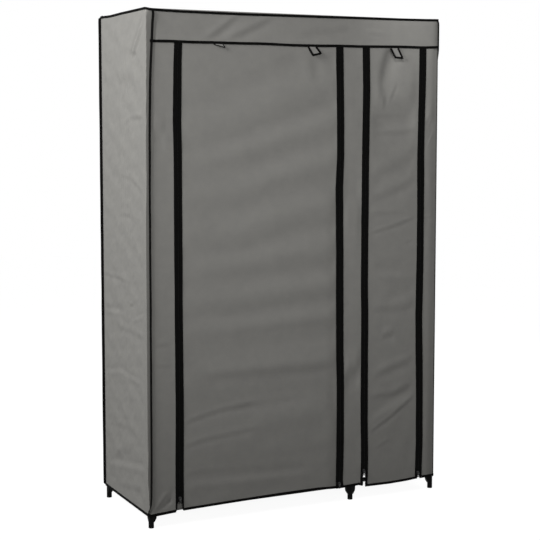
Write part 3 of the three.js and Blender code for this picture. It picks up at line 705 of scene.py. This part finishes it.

# %% [markdown]
# The doors hang from the seam under the band. The wide one carries broad shallow waves that rise a little to
# the right, and a few sharper drags from its left tape. The narrow one has steeper drags, and a soft dark
# fold that falls from the strap. Both ride on the root.

# %% The door panels
def wide_door_folds(s, z):
    left, right = zip_line(0)(z) + 14, zip_line(1)(z) - 14
    free = held(s, z, left - 10, right + 14, hem_high, band_seam, 34)
    creases = following(s, z, [
        [(120, 190), (700, 200)], [(208, 470), (690, 490)], [(228, 640), (628, 655)],
        [(300, 735), (628, 765)], [(200, 850), (690, 890)],
        [(318, 960), (468, 1000), (588, 1030), (698, 1040)],
        [(318, 1100), (448, 1150), (588, 1180), (698, 1200)],
        [(188, 1210), (388, 1260), (528, 1300), (688, 1340)],
        [(188, 1320), (288, 1340), (438, 1390), (668, 1460)],
        [(188, 1470), (218, 1490), (548, 1620)]], np.interp(s, (110, 300, 500, 700), (0.5, 1.3, 2.0, 2.3)))
    creases += steps_up(s, z, [
        (1.1, 6, (193, 1418), (248, 1418)), (1.3, 7, (128, 548), (173, 570)),
        (3.0, 26, (208, 505), (690, 505)),
        (3.0, 10, (112, 350), (188, 370), (268, 385), (388, 395)), (1.4, 18, (300, 388), (560, 402)),
        (2.4, 10, (112, 268), (188, 285), (248, 292), (388, 305)), (4.6, 60, (380, 300), (688, 320)),
        (1.3, 7, (125, 175), (308, 175)), (-2.6, 20, (118, 142), (588, 130))])
    creases += steps_up(s, z, [(3.1, 27, (1520, 620), (1600, 602))], steep=True)
    small = ripples(s, z, 81, 80, 300, 0.5) + ripples(s, z, 82, 10, 34, 0.05)
    return free * (creases + small) - 3.2 * ease((s - right + 46) / 60) * ease((1260 - z) / 160)


def narrow_door_folds(s, z):
    left, right = zip_line(2)(z) + 14, zip_line(3)(z) - 14
    free = held(s, z, left, right, hem_high, band_seam, 34)
    valley = s - along_heights((1640, 937), (1579, 916), (1516, 902), (1443, 908))(z)
    flank = np.where(valley < 0, 18, 46)
    depth = along_heights((1640, 11.0), (1600, 11.0), (1540, 7.5), (1470, 2.8), (1420, 0))(z)
    strap_fold = -depth * np.exp(-((valley / flank) ** 2))
    creases = steps_up(s, z, [
        (8.0, 80, (858, 1420), (1043, 1430)), (1.8, 11, (858, 1397), (988, 1397)),
        (-2.4, 24, (900, 1355), (1043, 1362)), (2.6, 16, (858, 1332), (1043, 1342)),
        (3.2, 36, (858, 1180), (948, 1215), (1038, 1260)), (2.6, 24, (858, 1100), (948, 1125), (1038, 1165)),
        (2.2, 14, (842, 1045), (978, 1045)), (3.0, 9, (845, 973), (938, 995), (1045, 1026)),
        (1.4, 8, (990, 935), (1043, 945)), (-3.1, 24, (868, 832), (1008, 815)),
        (-2.6, 21, (948, 735), (1038, 735)), (2.6, 21, (858, 695), (1038, 695)),
        (4.2, 18, (908, 600), (952, 600)), (3.6, 22, (878, 455), (1038, 500)),
        (3.1, 18, (858, 375), (948, 375), (1020, 400)), (-3.1, 24, (858, 300), (1043, 375)),
        (2.9, 9, (852, 242), (938, 290), (1043, 362)), (1.4, 8, (878, 180), (938, 205))])
    creases += steps_up(s, z, [(2.5, 7, (1450, 928), (1510, 953)), (2.5, 8, (1425, 903), (1465, 905))],
                        steep=True)
    small = ripples(s, z, 91, 60, 220, 0.4) + ripples(s, z, 92, 9, 30, 0.05)
    return free * (creases + small) + strap_fold * ease((band_seam - z) / 14)


door_zips = {"wide_door": (0, 1), "narrow_door": (2, 3)}
doors = {}
for name, folds, step in (("wide_door", wide_door_folds, 9.0), ("narrow_door", narrow_door_folds, 7.0)):
    a, b = door_zips[name]
    doors[name] = panel(name + "_cloth", tape_side(a, 1, tape_gap), tape_side(b, -1, tape_gap),
                        door_cut, band_edge, folds, step)
print({name: len(piece.data.polygons) for name, piece in doors.items()})

# %% [markdown]
# Tapes, bindings and tubes are all one thing, a section swept along a line, so one Geometry Nodes
# tree makes them. The line is a bare row of edges whose points carry a facing direction. The tree
# turns it to a curve, sets the curve's normal to that facing, and sweeps a rounded rectangle along
# it. The sweep writes a UV map in metres, for the weave.

# %% The sweeping tree
def new_tree(name, sizes):
    tree = bpy.data.node_groups.new(name, "GeometryNodeTree")
    tree.interface.new_socket("Line", in_out="INPUT", socket_type="NodeSocketGeometry")
    for label, kind in sizes:
        tree.interface.new_socket(label, in_out="INPUT", socket_type=kind)
    tree.interface.new_socket("Geometry", in_out="OUTPUT", socket_type="NodeSocketGeometry")
    start = node(tree, "NodeGroupInput")
    facing = node(tree, "GeometryNodeInputNamedAttribute", {"Name": "facing"},
                  data_type="FLOAT_VECTOR")
    curve = node(tree, "GeometryNodeMeshToCurve", {"Mesh": start.outputs["Line"]})
    return tree, start, facing, curve


def close_tree(tree, start, geometry):
    plain = node(tree, "GeometryNodeRealizeInstances", {"Geometry": geometry})
    dressed = node(tree, "GeometryNodeSetMaterial", {"Geometry": plain.outputs[0],
                                                     "Material": start.outputs["Finish"]})
    end = node(tree, "NodeGroupOutput")
    tree.links.new(dressed.outputs[0], end.inputs[0])


SIZE, COUNT, FINISH = "NodeSocketFloat", "NodeSocketInt", "NodeSocketMaterial"
sweep, given, facing, curve = new_tree("swept strip", [
    ("Thickness", SIZE), ("Width", SIZE), ("Roundness", SIZE), ("Steps", COUNT), ("Finish", FINISH)])
faced = node(sweep, "GeometryNodeSetCurveNormal", {"Curve": curve.outputs[0],
                                                   "Normal": facing.outputs["Attribute"]}, mode="FREE")
run_length = node(sweep, "GeometryNodeSplineParameter")
kept_run = node(sweep, "GeometryNodeCaptureAttribute", {"Geometry": faced.outputs[0]})
kept_run.capture_items.new("FLOAT", "run")
sweep.links.new(run_length.outputs["Length"], kept_run.inputs["run"])
section = node(sweep, "GeometryNodeCurvePrimitiveQuadrilateral", {
    "Width": given.outputs["Thickness"], "Height": given.outputs["Width"]})
rounded = node(sweep, "GeometryNodeFilletCurve", {
    "Curve": section.outputs[0], "Count": given.outputs["Steps"], "Radius": given.outputs["Roundness"],
    "Limit Radius": True}, mode="POLY")
round_run = node(sweep, "GeometryNodeSplineParameter")
kept_round = node(sweep, "GeometryNodeCaptureAttribute", {"Geometry": rounded.outputs[0]})
kept_round.capture_items.new("FLOAT", "round")
sweep.links.new(round_run.outputs["Length"], kept_round.inputs["round"])
swept = node(sweep, "GeometryNodeCurveToMesh", {"Curve": kept_run.outputs["Geometry"],
                                                "Profile Curve": kept_round.outputs["Geometry"],
                                                "Fill Caps": True})
both_ways = node(sweep, "ShaderNodeCombineXYZ", {"X": kept_run.outputs["run"],
                                                 "Y": kept_round.outputs["round"]})
mapped = node(sweep, "GeometryNodeStoreNamedAttribute", {
    "Geometry": swept.outputs[0], "Name": "UVMap", "Value": both_ways.outputs[0]},
    data_type="FLOAT2", domain="CORNER")
close_tree(sweep, given, mapped.outputs[0])
print("sweeping tree:", len(sweep.nodes), "nodes")


# %% Lines and what grows on them
upright_step, standing_step, level_step = 16.0, 9.0, 14.0


def line_object(name, runs):
    """runs are (points in mm, facing directions, closed), each its own line"""
    points, facings, edges = [], [], []
    for run, out, closed in runs:
        first, count = len(points), len(run)
        points += [tuple(p) for p in np.asarray(run) * MM]
        facings += [tuple(f) for f in np.asarray(out)]
        edges += [(first + i, first + (i + 1) % count) for i in range(count if closed else count - 1)]
    mesh = bpy.data.meshes.new(name)
    mesh.from_pydata(points, edges, [])
    layer = mesh.attributes.new("facing", "FLOAT_VECTOR", "POINT")
    layer.data.foreach_set("vector", np.array(facings).ravel())
    return new_object(name, mesh)


def grow(name, runs, tree, angle=40, **sizes):
    """What a tree makes on some runs, as a plain mesh"""
    piece = line_object(name, runs)
    grown = piece.modifiers.new("grown", "NODES")
    grown.node_group = tree
    for socket in tree.interface.items_tree:
        if socket.item_type == "SOCKET" and socket.name in sizes:
            grown[socket.identifier] = sizes[socket.name]
    return settled(piece, angle)


def strip(name, runs, width, thickness):
    """Binding tape along some runs, with edges rounded to just under half its thickness"""
    return grow(name, runs, sweep, Thickness=thickness * MM, Width=width * MM,
                Roundness=thickness / 2.02 * MM, Steps=3, Finish=binding_finish)


def upright(line, low, high, lift):
    z = np.linspace(low, high, round((high - low) / upright_step))
    return on_cover(line(z), z, lift)


def standing(line, low, high, reach, lean, seed, tuck, root):
    """A seam's edge that stands off the cover by its reach, and leans by an angle towards +s"""
    z = np.linspace(low, high, round((high - low) / standing_step))
    s = at(line, z) + ripples(z, 0 * z, seed, 60, 260, 0.4)
    _, normal = outline(s)
    ahead = np.stack([-normal[1], normal[0]])
    angle = np.radians(at(lean, z))
    up = np.cos(angle) * normal + np.sin(angle) * ahead
    face = np.cos(angle) * ahead - np.sin(angle) * normal
    pulled = reach * (1 - ease((z - low) / tuck) * ease((high - z) / tuck))
    points, _, _ = on_cover(s, z)
    points[:, :2] += (up * (reach / 2 + at(root, z) - pulled)).T
    return points, np.stack([face[0], face[1], 0 * z], -1), False


def level_line(left, right, height, lift):
    """A line round the cover, with points enough at each corner to turn it smoothly"""
    s = np.linspace(left, right, max(2, round((right - left) / level_step)))
    corners = np.concatenate([np.linspace(c, c + corner_arc, 6) for turn in (-1, 0, 1) for c in (
        np.cumsum([straight_x, corner_arc + straight_y, corner_arc + straight_x,
                   corner_arc + straight_y]) + turn * whole_loop)])
    s = np.unique(np.concatenate([s, corners[(corners > left) & (corners < right)]]))
    s = s[np.concatenate([[True], np.diff(s) > 0.6])]
    return on_cover(s, height(s), lift)


# %% [markdown]
# The bindings. Each seam's raw edge is wrapped in folded tape, so it reads as a black line with soft
# edges. At the upright corners the wrapped edge stands off the cloth. The ring round the top closes
# on itself, and the others run from end to end.

# %% Bindings of the fixed cover
ring_level = 1745.7
ring = level_line(0, whole_loop - 4, lambda s: ring_level - top_sag(s), 0.6)
places = np.linspace(0, 1150, 60)
wander = ripples(places, 0 * places, 101, 90, 300, 0.8)
band_line = level_line(4.0, right_seam - 2, lambda s: band_edge(s) + np.interp(s, places, wander), 1.1)
hem_width, binding_thickness = 9.4, 2.6
edgings = {
    "top_binding": strip("top_binding", [(ring[0], ring[1], True)], 8.6, binding_thickness),
    "band_binding": strip("band_binding", [band_line], hem_width, 2.2),
}
# Thickness, seam, low and high end, reach off the cloth, lean, seed, tuck of the ends, and root
for label, thick, *seam in (
        ("front_left", 3.0, left_seam, 44, cover_top - 5, 9.5, 30, 102, 8, seam_depth),
        ("front_right", 1.8, right_seam, 48, cover_top - 2, 6.0,
         along_heights((1600, 105), (1640, 40)), 103, 12, -0.5),
        ("rear_left", 3.4, rear_left_seam, 44, cover_top - 0.5, 13.0, 0, 104, 9, -2.0),
        ("rear_right", 2.6, rear_right_seam, 48, cover_top - 4, 9.0, 0, 105, 18, -1.5)):
    name = label + "_binding"
    edgings[name] = strip(name, [standing(*seam)], seam[3], thick)
first, last = (float(tape_side(k, side, 2.0)(48)) for k, side in ((3, 1), (0, -1)))


def whole_hem(s):
    """The hem's height right round the back, for distances that pass the loop's end"""
    s = np.asarray(s, float)
    return fixed_hem(np.where(s > 1700, s - whole_loop, s))


def hem_between(name, a, b):
    """The bound hem from zip a to zip b"""
    ends = (float(tape_side(number, side, 1.0)(50)) for number, side in ((a, 1), (b, -1)))
    return strip(name, [level_line(*ends, lambda s: door_hem(s) + 4.4, 0.2)], hem_width,
                 binding_thickness)


edgings["hem_binding"] = strip("hem_binding", [
    level_line(first, whole_loop + last, whole_hem, 0.2)], 10.0, binding_thickness)
edgings["strip_hem_binding"] = hem_between("strip_hem_binding", 1, 2)
door_hems = {name: hem_between(name + "_hem", *pair) for name, pair in door_zips.items()}
print("bindings:", len(edgings) + len(door_hems))

# %% [markdown]
# A zip is two woven tapes, each with a row of teeth on its inner edge. Above the slider the rows mesh.
# Below it the halves part, and each lies along its own edge of cloth. The tapes are narrow panels that
# stand on the cloth, and the teeth are grown along the tape's edge by a second tree, which sets one
# small six-sided bar at every pitch.

# %% The tree that sets small bars along a line
bars, given, facing, curve = new_tree("bars along a line", [
    ("Pitch", SIZE), ("Along", SIZE), ("Across", SIZE), ("Out", SIZE), ("Sides", COUNT),
    ("Finish", FINISH)])
spots = node(bars, "GeometryNodeCurveToPoints", {"Curve": curve.outputs[0],
                                                 "Length": given.outputs["Pitch"]}, mode="LENGTH")
turned = node(bars, "FunctionNodeAxesToRotation", {0: spots.outputs["Tangent"],
                                                   1: facing.outputs["Attribute"]},
              primary_axis="Z", secondary_axis="X")
bar = node(bars, "GeometryNodeMeshUVSphere", {"Segments": given.outputs["Sides"], "Rings": 4,
                                              "Radius": 0.5})
extent = node(bars, "ShaderNodeCombineXYZ", {"X": given.outputs["Out"], "Y": given.outputs["Across"],
                                             "Z": given.outputs["Along"]})
set_out = node(bars, "GeometryNodeInstanceOnPoints", {
    "Points": spots.outputs["Points"], "Instance": bar.outputs["Mesh"],
    "Rotation": turned.outputs[0], "Scale": extent.outputs[0]})
close_tree(bars, given, set_out.outputs[0])
print("bar tree:", len(bars.nodes), "nodes")


# %% Zip tapes and teeth
tape_foot, tape_lift, tooth_pitch = 50, 1.0, 2.6


def tape_edge(number, side, inset=0.0):
    """The outer edge of a tape, which keeps its place where the zip is open"""
    line, near = zip_line(number), tape_side(number, side, 0.0)
    return lambda z: line(z) + side * (np.maximum(tape_width, np.abs(near(z) - line(z)) + 3.5) - inset)


def tape_half(name, number, side):
    outer, seed = tape_edge(number, side), 111 + 2 * number + side
    edges = (tape_side(number, side, 0.0),
             lambda z: outer(z) + ripples(z, 0 * z, seed, 90, 400, 0.5))[::side]
    return panel(name, *edges, tape_foot, lambda s: band_edge(s) - 2, lambda s, z: 0 * s + tape_lift,
                 4.7, None, tape_finish, tape_thickness)


def teeth(name, number, side, shift):
    line = tape_side(number, side, -0.35)
    return grow(name, [upright(line, tape_foot + 2 + shift, band_seam - 2, 0.9)], bars, 180,
                Pitch=tooth_pitch * MM, Along=1.5 * MM, Across=3.0 * MM, Out=1.7 * MM, Sides=6,
                Finish=nylon_finish)


fixed_zip_parts, door_zip_parts = [], {name: [] for name in door_zips}
for door, pair in door_zips.items():
    for number, door_side in zip(pair, (1, -1)):
        for side in (-1, 1):
            on_door = side == door_side
            label = f"zip_{number + 1}_{'door' if on_door else 'fixed'}"
            (door_zip_parts[door] if on_door else fixed_zip_parts).extend([
                tape_half(label + "_tape", number, side),
                teeth(label + "_teeth", number, side, 0.0 if on_door else tooth_pitch / 2)])
print("zip pieces:", len(fixed_zip_parts) + sum(map(len, door_zip_parts.values())))

# %% [markdown]
# Sewing thread shows as a row of short raised stitches, a little inside the edge of each tape and
# binding. The stitches are about 3 mm apart, as a common lockstitch is, and lie half sunk in the
# cloth. They are rows of the same small bars, only longer and thinner.

# %% Stitches
thread_finish = woven_black("black polyester thread", "#080808", 0.4, 0.6, 0.8)


def stitches(name, runs):
    return grow(name, runs, bars, 180, Pitch=3.2 * MM, Along=2.4 * MM, Across=0.55 * MM,
                Out=0.5 * MM, Sides=5, Finish=thread_finish)


def tape_rows(*halves):
    """Two rows on each half of a tape: near its outer edge, and beside the teeth from a little higher"""
    return [upright(line, low, band_seam - 6, 1.15) for number, side in halves
            for line, low in ((tape_edge(number, side, 1.8), 60), (tape_side(number, side, 4.0), 100))]


cover_stitches = stitches("cover_stitching", [
    level_line(10, right_seam - 10, lambda s: band_edge(s) - 2.4, 2.05),
    level_line(first + 3, whole_loop + last - 3, lambda s: whole_hem(s) + 2.2, 1.5),
    *tape_rows((0, -1), (1, 1), (2, -1), (3, 1))])
door_stitches = {name: stitches(name + "_stitching", tape_rows((a, 1), (b, -1)))
                 for name, (a, b) in door_zips.items()}
print("stitch faces:", len(cover_stitches.data.polygons))

# %% [markdown]
# The straps are short ribbons of the same cloth, bound on three sides. Their cloth is painted a little
# lighter than the cover's, as a painted highlight for the light that they catch. They hang slantwise from
# the seam under the band, and each rides on its own body so that it can swing.

# %% Straps
strap_half, strap_root, strap_front = 18.5, 1635.2, -226.0
strap_parts = {}
for number, (place, drop, ends) in enumerate([(-314, 12, (0.3, 1)), (45, 32, (1, 0.74)),
                                              (381, 33, (0.97, 1.03))], start=1):
    slant = 18 * drop / 33 + (2 if number > 1 else 0)
    edge = 7.4 if number > 1 else 3.4
    root_rise = float(band_rise(np.array(front(place))))
    share = np.linspace(0, 1, 9)
    u, v = np.meshgrid(np.linspace(-strap_half, strap_half, 12), share)
    curl = 3.2 * v**2 if number > 1 else 2.0 * v
    fallen = drop * np.interp(u, (-strap_half, strap_half), ends)
    points = np.stack([place + u + slant * v, strap_front - curl, strap_root - fallen * v], -1)[::-1]
    points[..., 2] += root_rise * (1 - v[::-1])
    ribbon = sheet_mesh(f"strap_{number}_cloth", points, np.stack([u, v * drop], -1)[::-1],
                        strap_painted_lighter_finish, thin_cloth)
    inset = edge / 2 - 0.6
    low = drop - inset
    left, right = ([(place + way * (strap_half - inset) + slant * t * low / drop,
                     strap_front - 0.4 - 3.2 * t**2,
                     strap_root + root_rise * (1 - t) - low * t * ends[way > 0])
                    for t in share] for way in (-1, 1))
    path = left + [tuple((1 - t) * np.array(left[-1]) + t * np.array(right[-1]) - (0, 0.2, 0))
                   for t in share[1:-1]] + right[::-1]
    bound = strip(f"strap_{number}_binding", [(path, [(0, -1, 0)] * len(path), False)], edge, 1.6)
    strap_parts[f"strap_{number}"] = (ribbon, bound)
print("straps:", sorted(strap_parts))

# %% [markdown]
# The frame. Tubes are the swept strip again, with a section as wide as it is thick and fully rounded.
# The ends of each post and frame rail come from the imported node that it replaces, so they aren't
# measured twice. A shelf's own rails are part of its node, and are placed from the posts.

# %% Tubes
tube_radius = 8.0


def tube(name, ends):
    ends = np.asarray(ends, float)
    run = [ends[0] + (ends[1] - ends[0]) * t for t in (0, 0.5, 1)]
    out = (0, -1, 0) if ends[0][2] != ends[1][2] else (0, 0, 1)
    return grow(name, [(run, [out] * 3, False)], sweep, 50, Thickness=2 * tube_radius * MM,
                Width=2 * tube_radius * MM, Roundness=tube_radius * 0.999 * MM, Steps=6,
                Finish=steel_finish)


def tube_like(node_name):
    low, high = (np.array(corner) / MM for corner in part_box(node_name))
    axis = int(np.argmax(high - low))
    ends = np.array([(low + high) / 2] * 2)
    ends[0][axis], ends[1][axis] = low[axis], high[axis]
    return tube(node_name + "_tube", ends)


tubes = {name: tube_like(name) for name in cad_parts
         if name.endswith(("_post", "_rail")) and name != "hanging_rail"}
print("tubes:", len(tubes))

# %% [markdown]
# A connector is a cluster of sleeves, one for each tube, with webs under the arms of the feet. Each is
# built as whole solids that are united by the Boolean modifier, and a small bevel rounds its moulded
# edges, the foot's lower rim among them.

# %% Connectors
sleeve_radius, arm_reach, foot_rail, top_rail = 9.4, 35.0, 66.0, 1737.9
web_half, moulded_edge = 7.5, 0.5


def sleeve(start, end):
    start, end = Vector(start), Vector(end)
    shape = bmesh.new()
    bmesh.ops.create_cone(shape, cap_ends=True, segments=28, radius1=sleeve_radius,
                          radius2=sleeve_radius, depth=(end - start).length)
    turn = Vector((0, 0, 1)).rotation_difference((end - start).normalized())
    bmesh.ops.rotate(shape, verts=shape.verts, cent=(0, 0, 0), matrix=turn.to_matrix())
    bmesh.ops.translate(shape, verts=shape.verts, vec=(start + end) / 2)
    return shape


def web_mesh(x, y, way):
    """A concave web under an arm: drawn as an outline and given its thickness both ways"""
    a, b, c = np.array((17.6, 46.0)), np.array((18.0, 56.0)), np.array((31.0, 57.0))
    bow = [(1 - t) ** 2 * a + 2 * t * (1 - t) * b + t**2 * c for t in np.linspace(0, 1, 9)]
    drawn = [(0, 20.0), (9.0, 20.0), (15.8, 31.0), (17.2, 36.0), *bow, (31.0, foot_rail),
             (0, foot_rail)]
    shape = bmesh.new()
    ahead, side = Vector((*way, 0)), Vector((-way[1], way[0], 0))
    rings = [[shape.verts.new(Vector((x, y, 0)) + ahead * float(r) + side * offset
                              + Vector((0, 0, float(h)))) for r, h in drawn]
             for offset in (-web_half, web_half)]
    shape.faces.new(rings[0][::-1])
    shape.faces.new(rings[1])
    for i in range(len(drawn)):
        j = (i + 1) % len(drawn)
        shape.faces.new((rings[0][i], rings[0][j], rings[1][j], rings[1][i]))
    bmesh.ops.recalc_face_normals(shape, faces=shape.faces)
    return shape


def moulded(name, shapes):
    made = []
    for shape in shapes:
        bmesh.ops.scale(shape, verts=shape.verts, vec=(MM, MM, MM))
        mesh = bpy.data.meshes.new(name)
        shape.to_mesh(mesh)
        shape.free()
        made.append(new_object(name, mesh))
    body, others = made[0], made[1:]
    for other in others:
        union = body.modifiers.new("union", "BOOLEAN")
        union.operation, union.solver, union.object = "UNION", "EXACT", other
    edge = body.modifiers.new("edge", "BEVEL")
    edge.width, edge.segments, edge.limit_method = moulded_edge * MM, 2, "ANGLE"
    edge.angle_limit = math.radians(50)
    settled(body, 35)
    for other in others:
        bpy.data.objects.remove(other, do_unlink=True)
    body.data.materials.append(plastic_finish)
    return body


columns = {"left": (-post_x, [1]), "middle": (middle_x, [-1, 1]), "right": (post_x, [-1])}
faces = {"front": (-post_y, 1), "rear": (post_y, -1)}
connectors = {}
for face, (y, inward) in faces.items():
    for side, (x, arms) in columns.items():
        foot = [sleeve((x, y, 0), (x, y, foot_rail + arm_reach))]
        cap = [sleeve((x, y, top_rail - arm_reach), (x, y, top_rail + 5.5))]
        for a, b in [(arm, 0) for arm in arms] + [(0, inward)]:
            tip = (x + a * arm_reach, y + b * arm_reach)
            foot += [sleeve((x, y, foot_rail), (*tip, foot_rail)), web_mesh(x, y, (a, b))]
            cap.append(sleeve((x, y, top_rail), (*tip, top_rail)))
        connectors[f"{face}_{side}_foot"] = moulded(f"{face}_{side}_foot_moulding", foot)
        connectors[f"{face}_{side}_top_connector"] = moulded(f"{face}_{side}_top_moulding", cap)
print("connectors:", len(connectors), "faces of one foot:",
      len(connectors["front_left_foot"].data.polygons))

# %% [markdown]
# A shelf is one cloth that wraps the front and the rear rail in sewn sleeves and sags between them.
# Its section is drawn once and carried across the bay. The bottom shelf's front sleeve is cut loose
# and hangs below its rail, which is what shows through the open foot of the first zip.

# %% Shelves
sewn_radius, shelf_sag = 8.9, 5.0


def shelf_top(y, level):
    return level + sewn_radius - shelf_sag * (1 - (y / post_y) ** 2)


def shelf_section(level, droop):
    angles = np.radians(np.linspace(-60, 90, 12))
    rear = np.stack([post_y + sewn_radius * np.cos(angles), level + sewn_radius * np.sin(angles)], -1)
    under = np.array([(post_y - 13, level + 7.2), (post_y - 9, level - 6.5), (post_y, level - 9.2)])
    rear = np.concatenate([under, rear])
    low = rear[:, 1] < level
    rear[low, 1] -= (level - rear[low, 1]) * droop / sewn_radius
    y = np.linspace(-post_y, post_y, 34)[1:-1]
    return np.concatenate([rear * (-1, 1), np.stack([y, shelf_top(y, level)], -1), rear[::-1]])


def shelf_cloth(name, left, right, level, droop, seed):
    section_points = shelf_section(level, droop)
    run = np.concatenate([[0], np.cumsum(np.hypot(*np.diff(section_points, axis=0).T))])
    x = np.linspace(left, right, round((right - left) / 11) + 1)
    grid_x, grid_run = np.meshgrid(x, run, indexing="ij")
    along_y, height = section_points.T[:, None, :]
    inside = ease((190 - np.abs(along_y)) / 60) * ease((grid_x - left) / 40) * ease(
        (right - grid_x) / 40)
    dip = -3.0 * np.sin(math.pi * (grid_x - left) / (right - left))
    grid_z = height + inside * (dip + ripples(grid_x, grid_run, seed, 40, 180, 0.9))
    piece = sheet_mesh(name, np.stack([grid_x, along_y + 0 * grid_x, grid_z], -1),
                       np.stack([grid_x, grid_run], -1), cloth_finish, thin_cloth)
    slope = np.gradient(section_points, axis=0)
    slope /= np.linalg.norm(slope, axis=1)[:, None]
    up = np.stack([0 * slope[:, 0], -slope[:, 1], slope[:, 0]], -1)
    rims = [(np.insert(section_points, 0, edge_x, axis=1), up, False)
            for edge_x in (left + 0.3, right - 0.3)]
    trim = strip(name.replace("cloth", "binding"), rims, 7.0, 1.8)
    seams = [([(x, y, shelf_top(y, level) + 0.6) for x in np.linspace(left + 4, right - 4, 30)],
              [(0, 0, 1)] * 30, False) for y in (-196.0, 196.0)]
    return piece, trim, stitches(name.replace("cloth", "stitching"), seams), run[-1]


# Label, the middles of the two posts that carry the shelf, its height, its droop and its seed
shelf_pitch, cloth_inset, rail_inset, collar_half = 334.38, arm_reach + 0.3, 13.3, 20
plan = {"wide_bay_bottom_shelf": ("bottom_shelf", -post_x, middle_x, foot_rail, 7.5, 5)}
for number in range(1, 5):
    plan[f"narrow_bay_shelf_{number}"] = (f"shelf_{number}", middle_x, post_x, round(
        foot_rail + number * shelf_pitch, 2), 0.5, 10 + number)
shelves = {
    name: shelf_cloth(label + "_cloth", left + cloth_inset, right - cloth_inset, *rest)
    for name, (label, left, right, *rest) in plan.items()}
shelf_rails = [
    tube(f"{label}_{face}_rail", [(left + rail_inset, y, level), (right - rail_inset, y, level)])
    for label, left, right, level, *_ in plan.values() for face, (y, _) in faces.items()]
collars = [
    moulded(f"{label}_{face}_{side}_collar", [
        sleeve((x, y, level - collar_half), (x, y, level + collar_half)),
        sleeve((x, y, level), (x + way * arm_reach, y, level))])
    for label, *_, level, _, _ in list(plan.values())[1:] for face, (y, _) in faces.items()
    for side, x, way in (("middle", middle_x, 1), ("right", post_x, -1))]
print("shelves:", len(shelves), "collars:", len(collars))

# %% [markdown]
# The hanging rail is one more tube, held at each end by a bracket that hooks over the top side rail.
# A bracket is a flat plate with a short sleeve across its top, and the tube ends 3 mm past the plate's
# middle, flush with its outer face.

# %% Hanging rail
rail_level, plate_thickness = top_rail - 46, 6
plate_width, plate_height, plate_rise = 2 * sleeve_radius, 55.4, 18.3
hanging_rail = tube("hanging_rail_tube", [(-post_x - plate_thickness / 2, 0, rail_level),
                                          (middle_x + plate_thickness / 2, 0, rail_level)])
brackets = []
for side, x in (("left", -post_x), ("right", middle_x)):
    plate = bmesh.new()
    bmesh.ops.create_cube(plate, size=1)
    bmesh.ops.scale(plate, verts=plate.verts, vec=(plate_thickness, plate_width, plate_height))
    bmesh.ops.translate(plate, verts=plate.verts, vec=(x, 0, rail_level + plate_rise))
    brackets.append(moulded(f"hanging_rail_{side}_bracket", [
        sleeve((x, -12, top_rail), (x, 12, top_rail)), plate]))
print("hanging rail at", rail_level)

# %% [markdown]
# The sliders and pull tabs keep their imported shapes, and only get the painted zinc.

# %% Sliders and pulls
for name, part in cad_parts.items():
    if name.endswith("_slider") or name.endswith("_pull"):
        part.material_slots[0].material = zinc_finish
print("sliders and pulls painted")

# %% [markdown]
# Last, each piece is told which body carries it, and the imported node that it stands for is hidden. The
# door's cloth, tapes, teeth and stitches ride on the root, each with a mesh of its own, while the hem rides
# whole on its door's body.

# %% Riding and replacing
ROOT = "frame_and_cover"


def carried(piece, body, slot, *nodes):
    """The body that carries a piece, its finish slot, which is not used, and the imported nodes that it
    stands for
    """
    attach(piece, body)
    if nodes:
        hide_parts(*nodes)


stands_for = {
    "left_side_cloth": "cover_left_side", "band_cloth": "cover_front_band",
    "left_stile_cloth": "cover_left_stile", "middle_strip_cloth": "cover_middle_strip",
    "right_stile_cloth": "cover_right_stile", "right_side_cloth": "cover_right_side",
    "back_cloth": "cover_back", "top_cloth": "cover_top"}
for name, piece in panels.items():
    carried(piece, ROOT, "cloth", stands_for[name])
for name, piece in edgings.items():
    carried(piece, ROOT, "binding", *(["cover_binding"] if name == "top_binding" else []))
for piece in fixed_zip_parts + [cover_stitches]:
    carried(piece, ROOT, "binding")

for name, piece in doors.items():
    carried(piece, ROOT, "cloth", name)
    carried(door_hems[name], name, "binding", name + "_edging")
    for trim in door_zip_parts[name] + [door_stitches[name]]:
        carried(trim, ROOT, "binding")
    for soft in [piece, door_stitches[name]] + door_zip_parts[name]:
        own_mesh(soft)
for name, (ribbon, bound) in strap_parts.items():
    carried(ribbon, name, "cloth", name)
    carried(bound, name, "binding")
for named, slot in ((tubes, "steel"), (connectors, "plastic")):
    for name, piece in named.items():
        carried(piece, ROOT, slot, name)
for name, (piece, trim, seam, _) in shelves.items():
    carried(piece, ROOT, "cloth", name)
    carried(trim, ROOT, "binding")
    carried(seam, ROOT, "binding")
for several, slot in ((shelf_rails, "steel"), (collars + brackets, "plastic")):
    for piece in several:
        carried(piece, ROOT, slot)
carried(hanging_rail, ROOT, "steel", "hanging_rail")
print("every piece rides on a body")

# %% The straps' sheets, looked up one by one
for name, drop in {"strap_1": 0.01, "strap_2": 0.032, "strap_3": 0.0385}.items():
    ribbon, bound = strap_parts[name]

# %% The view transform
bpy.context.scene.view_settings.view_transform = "Standard"
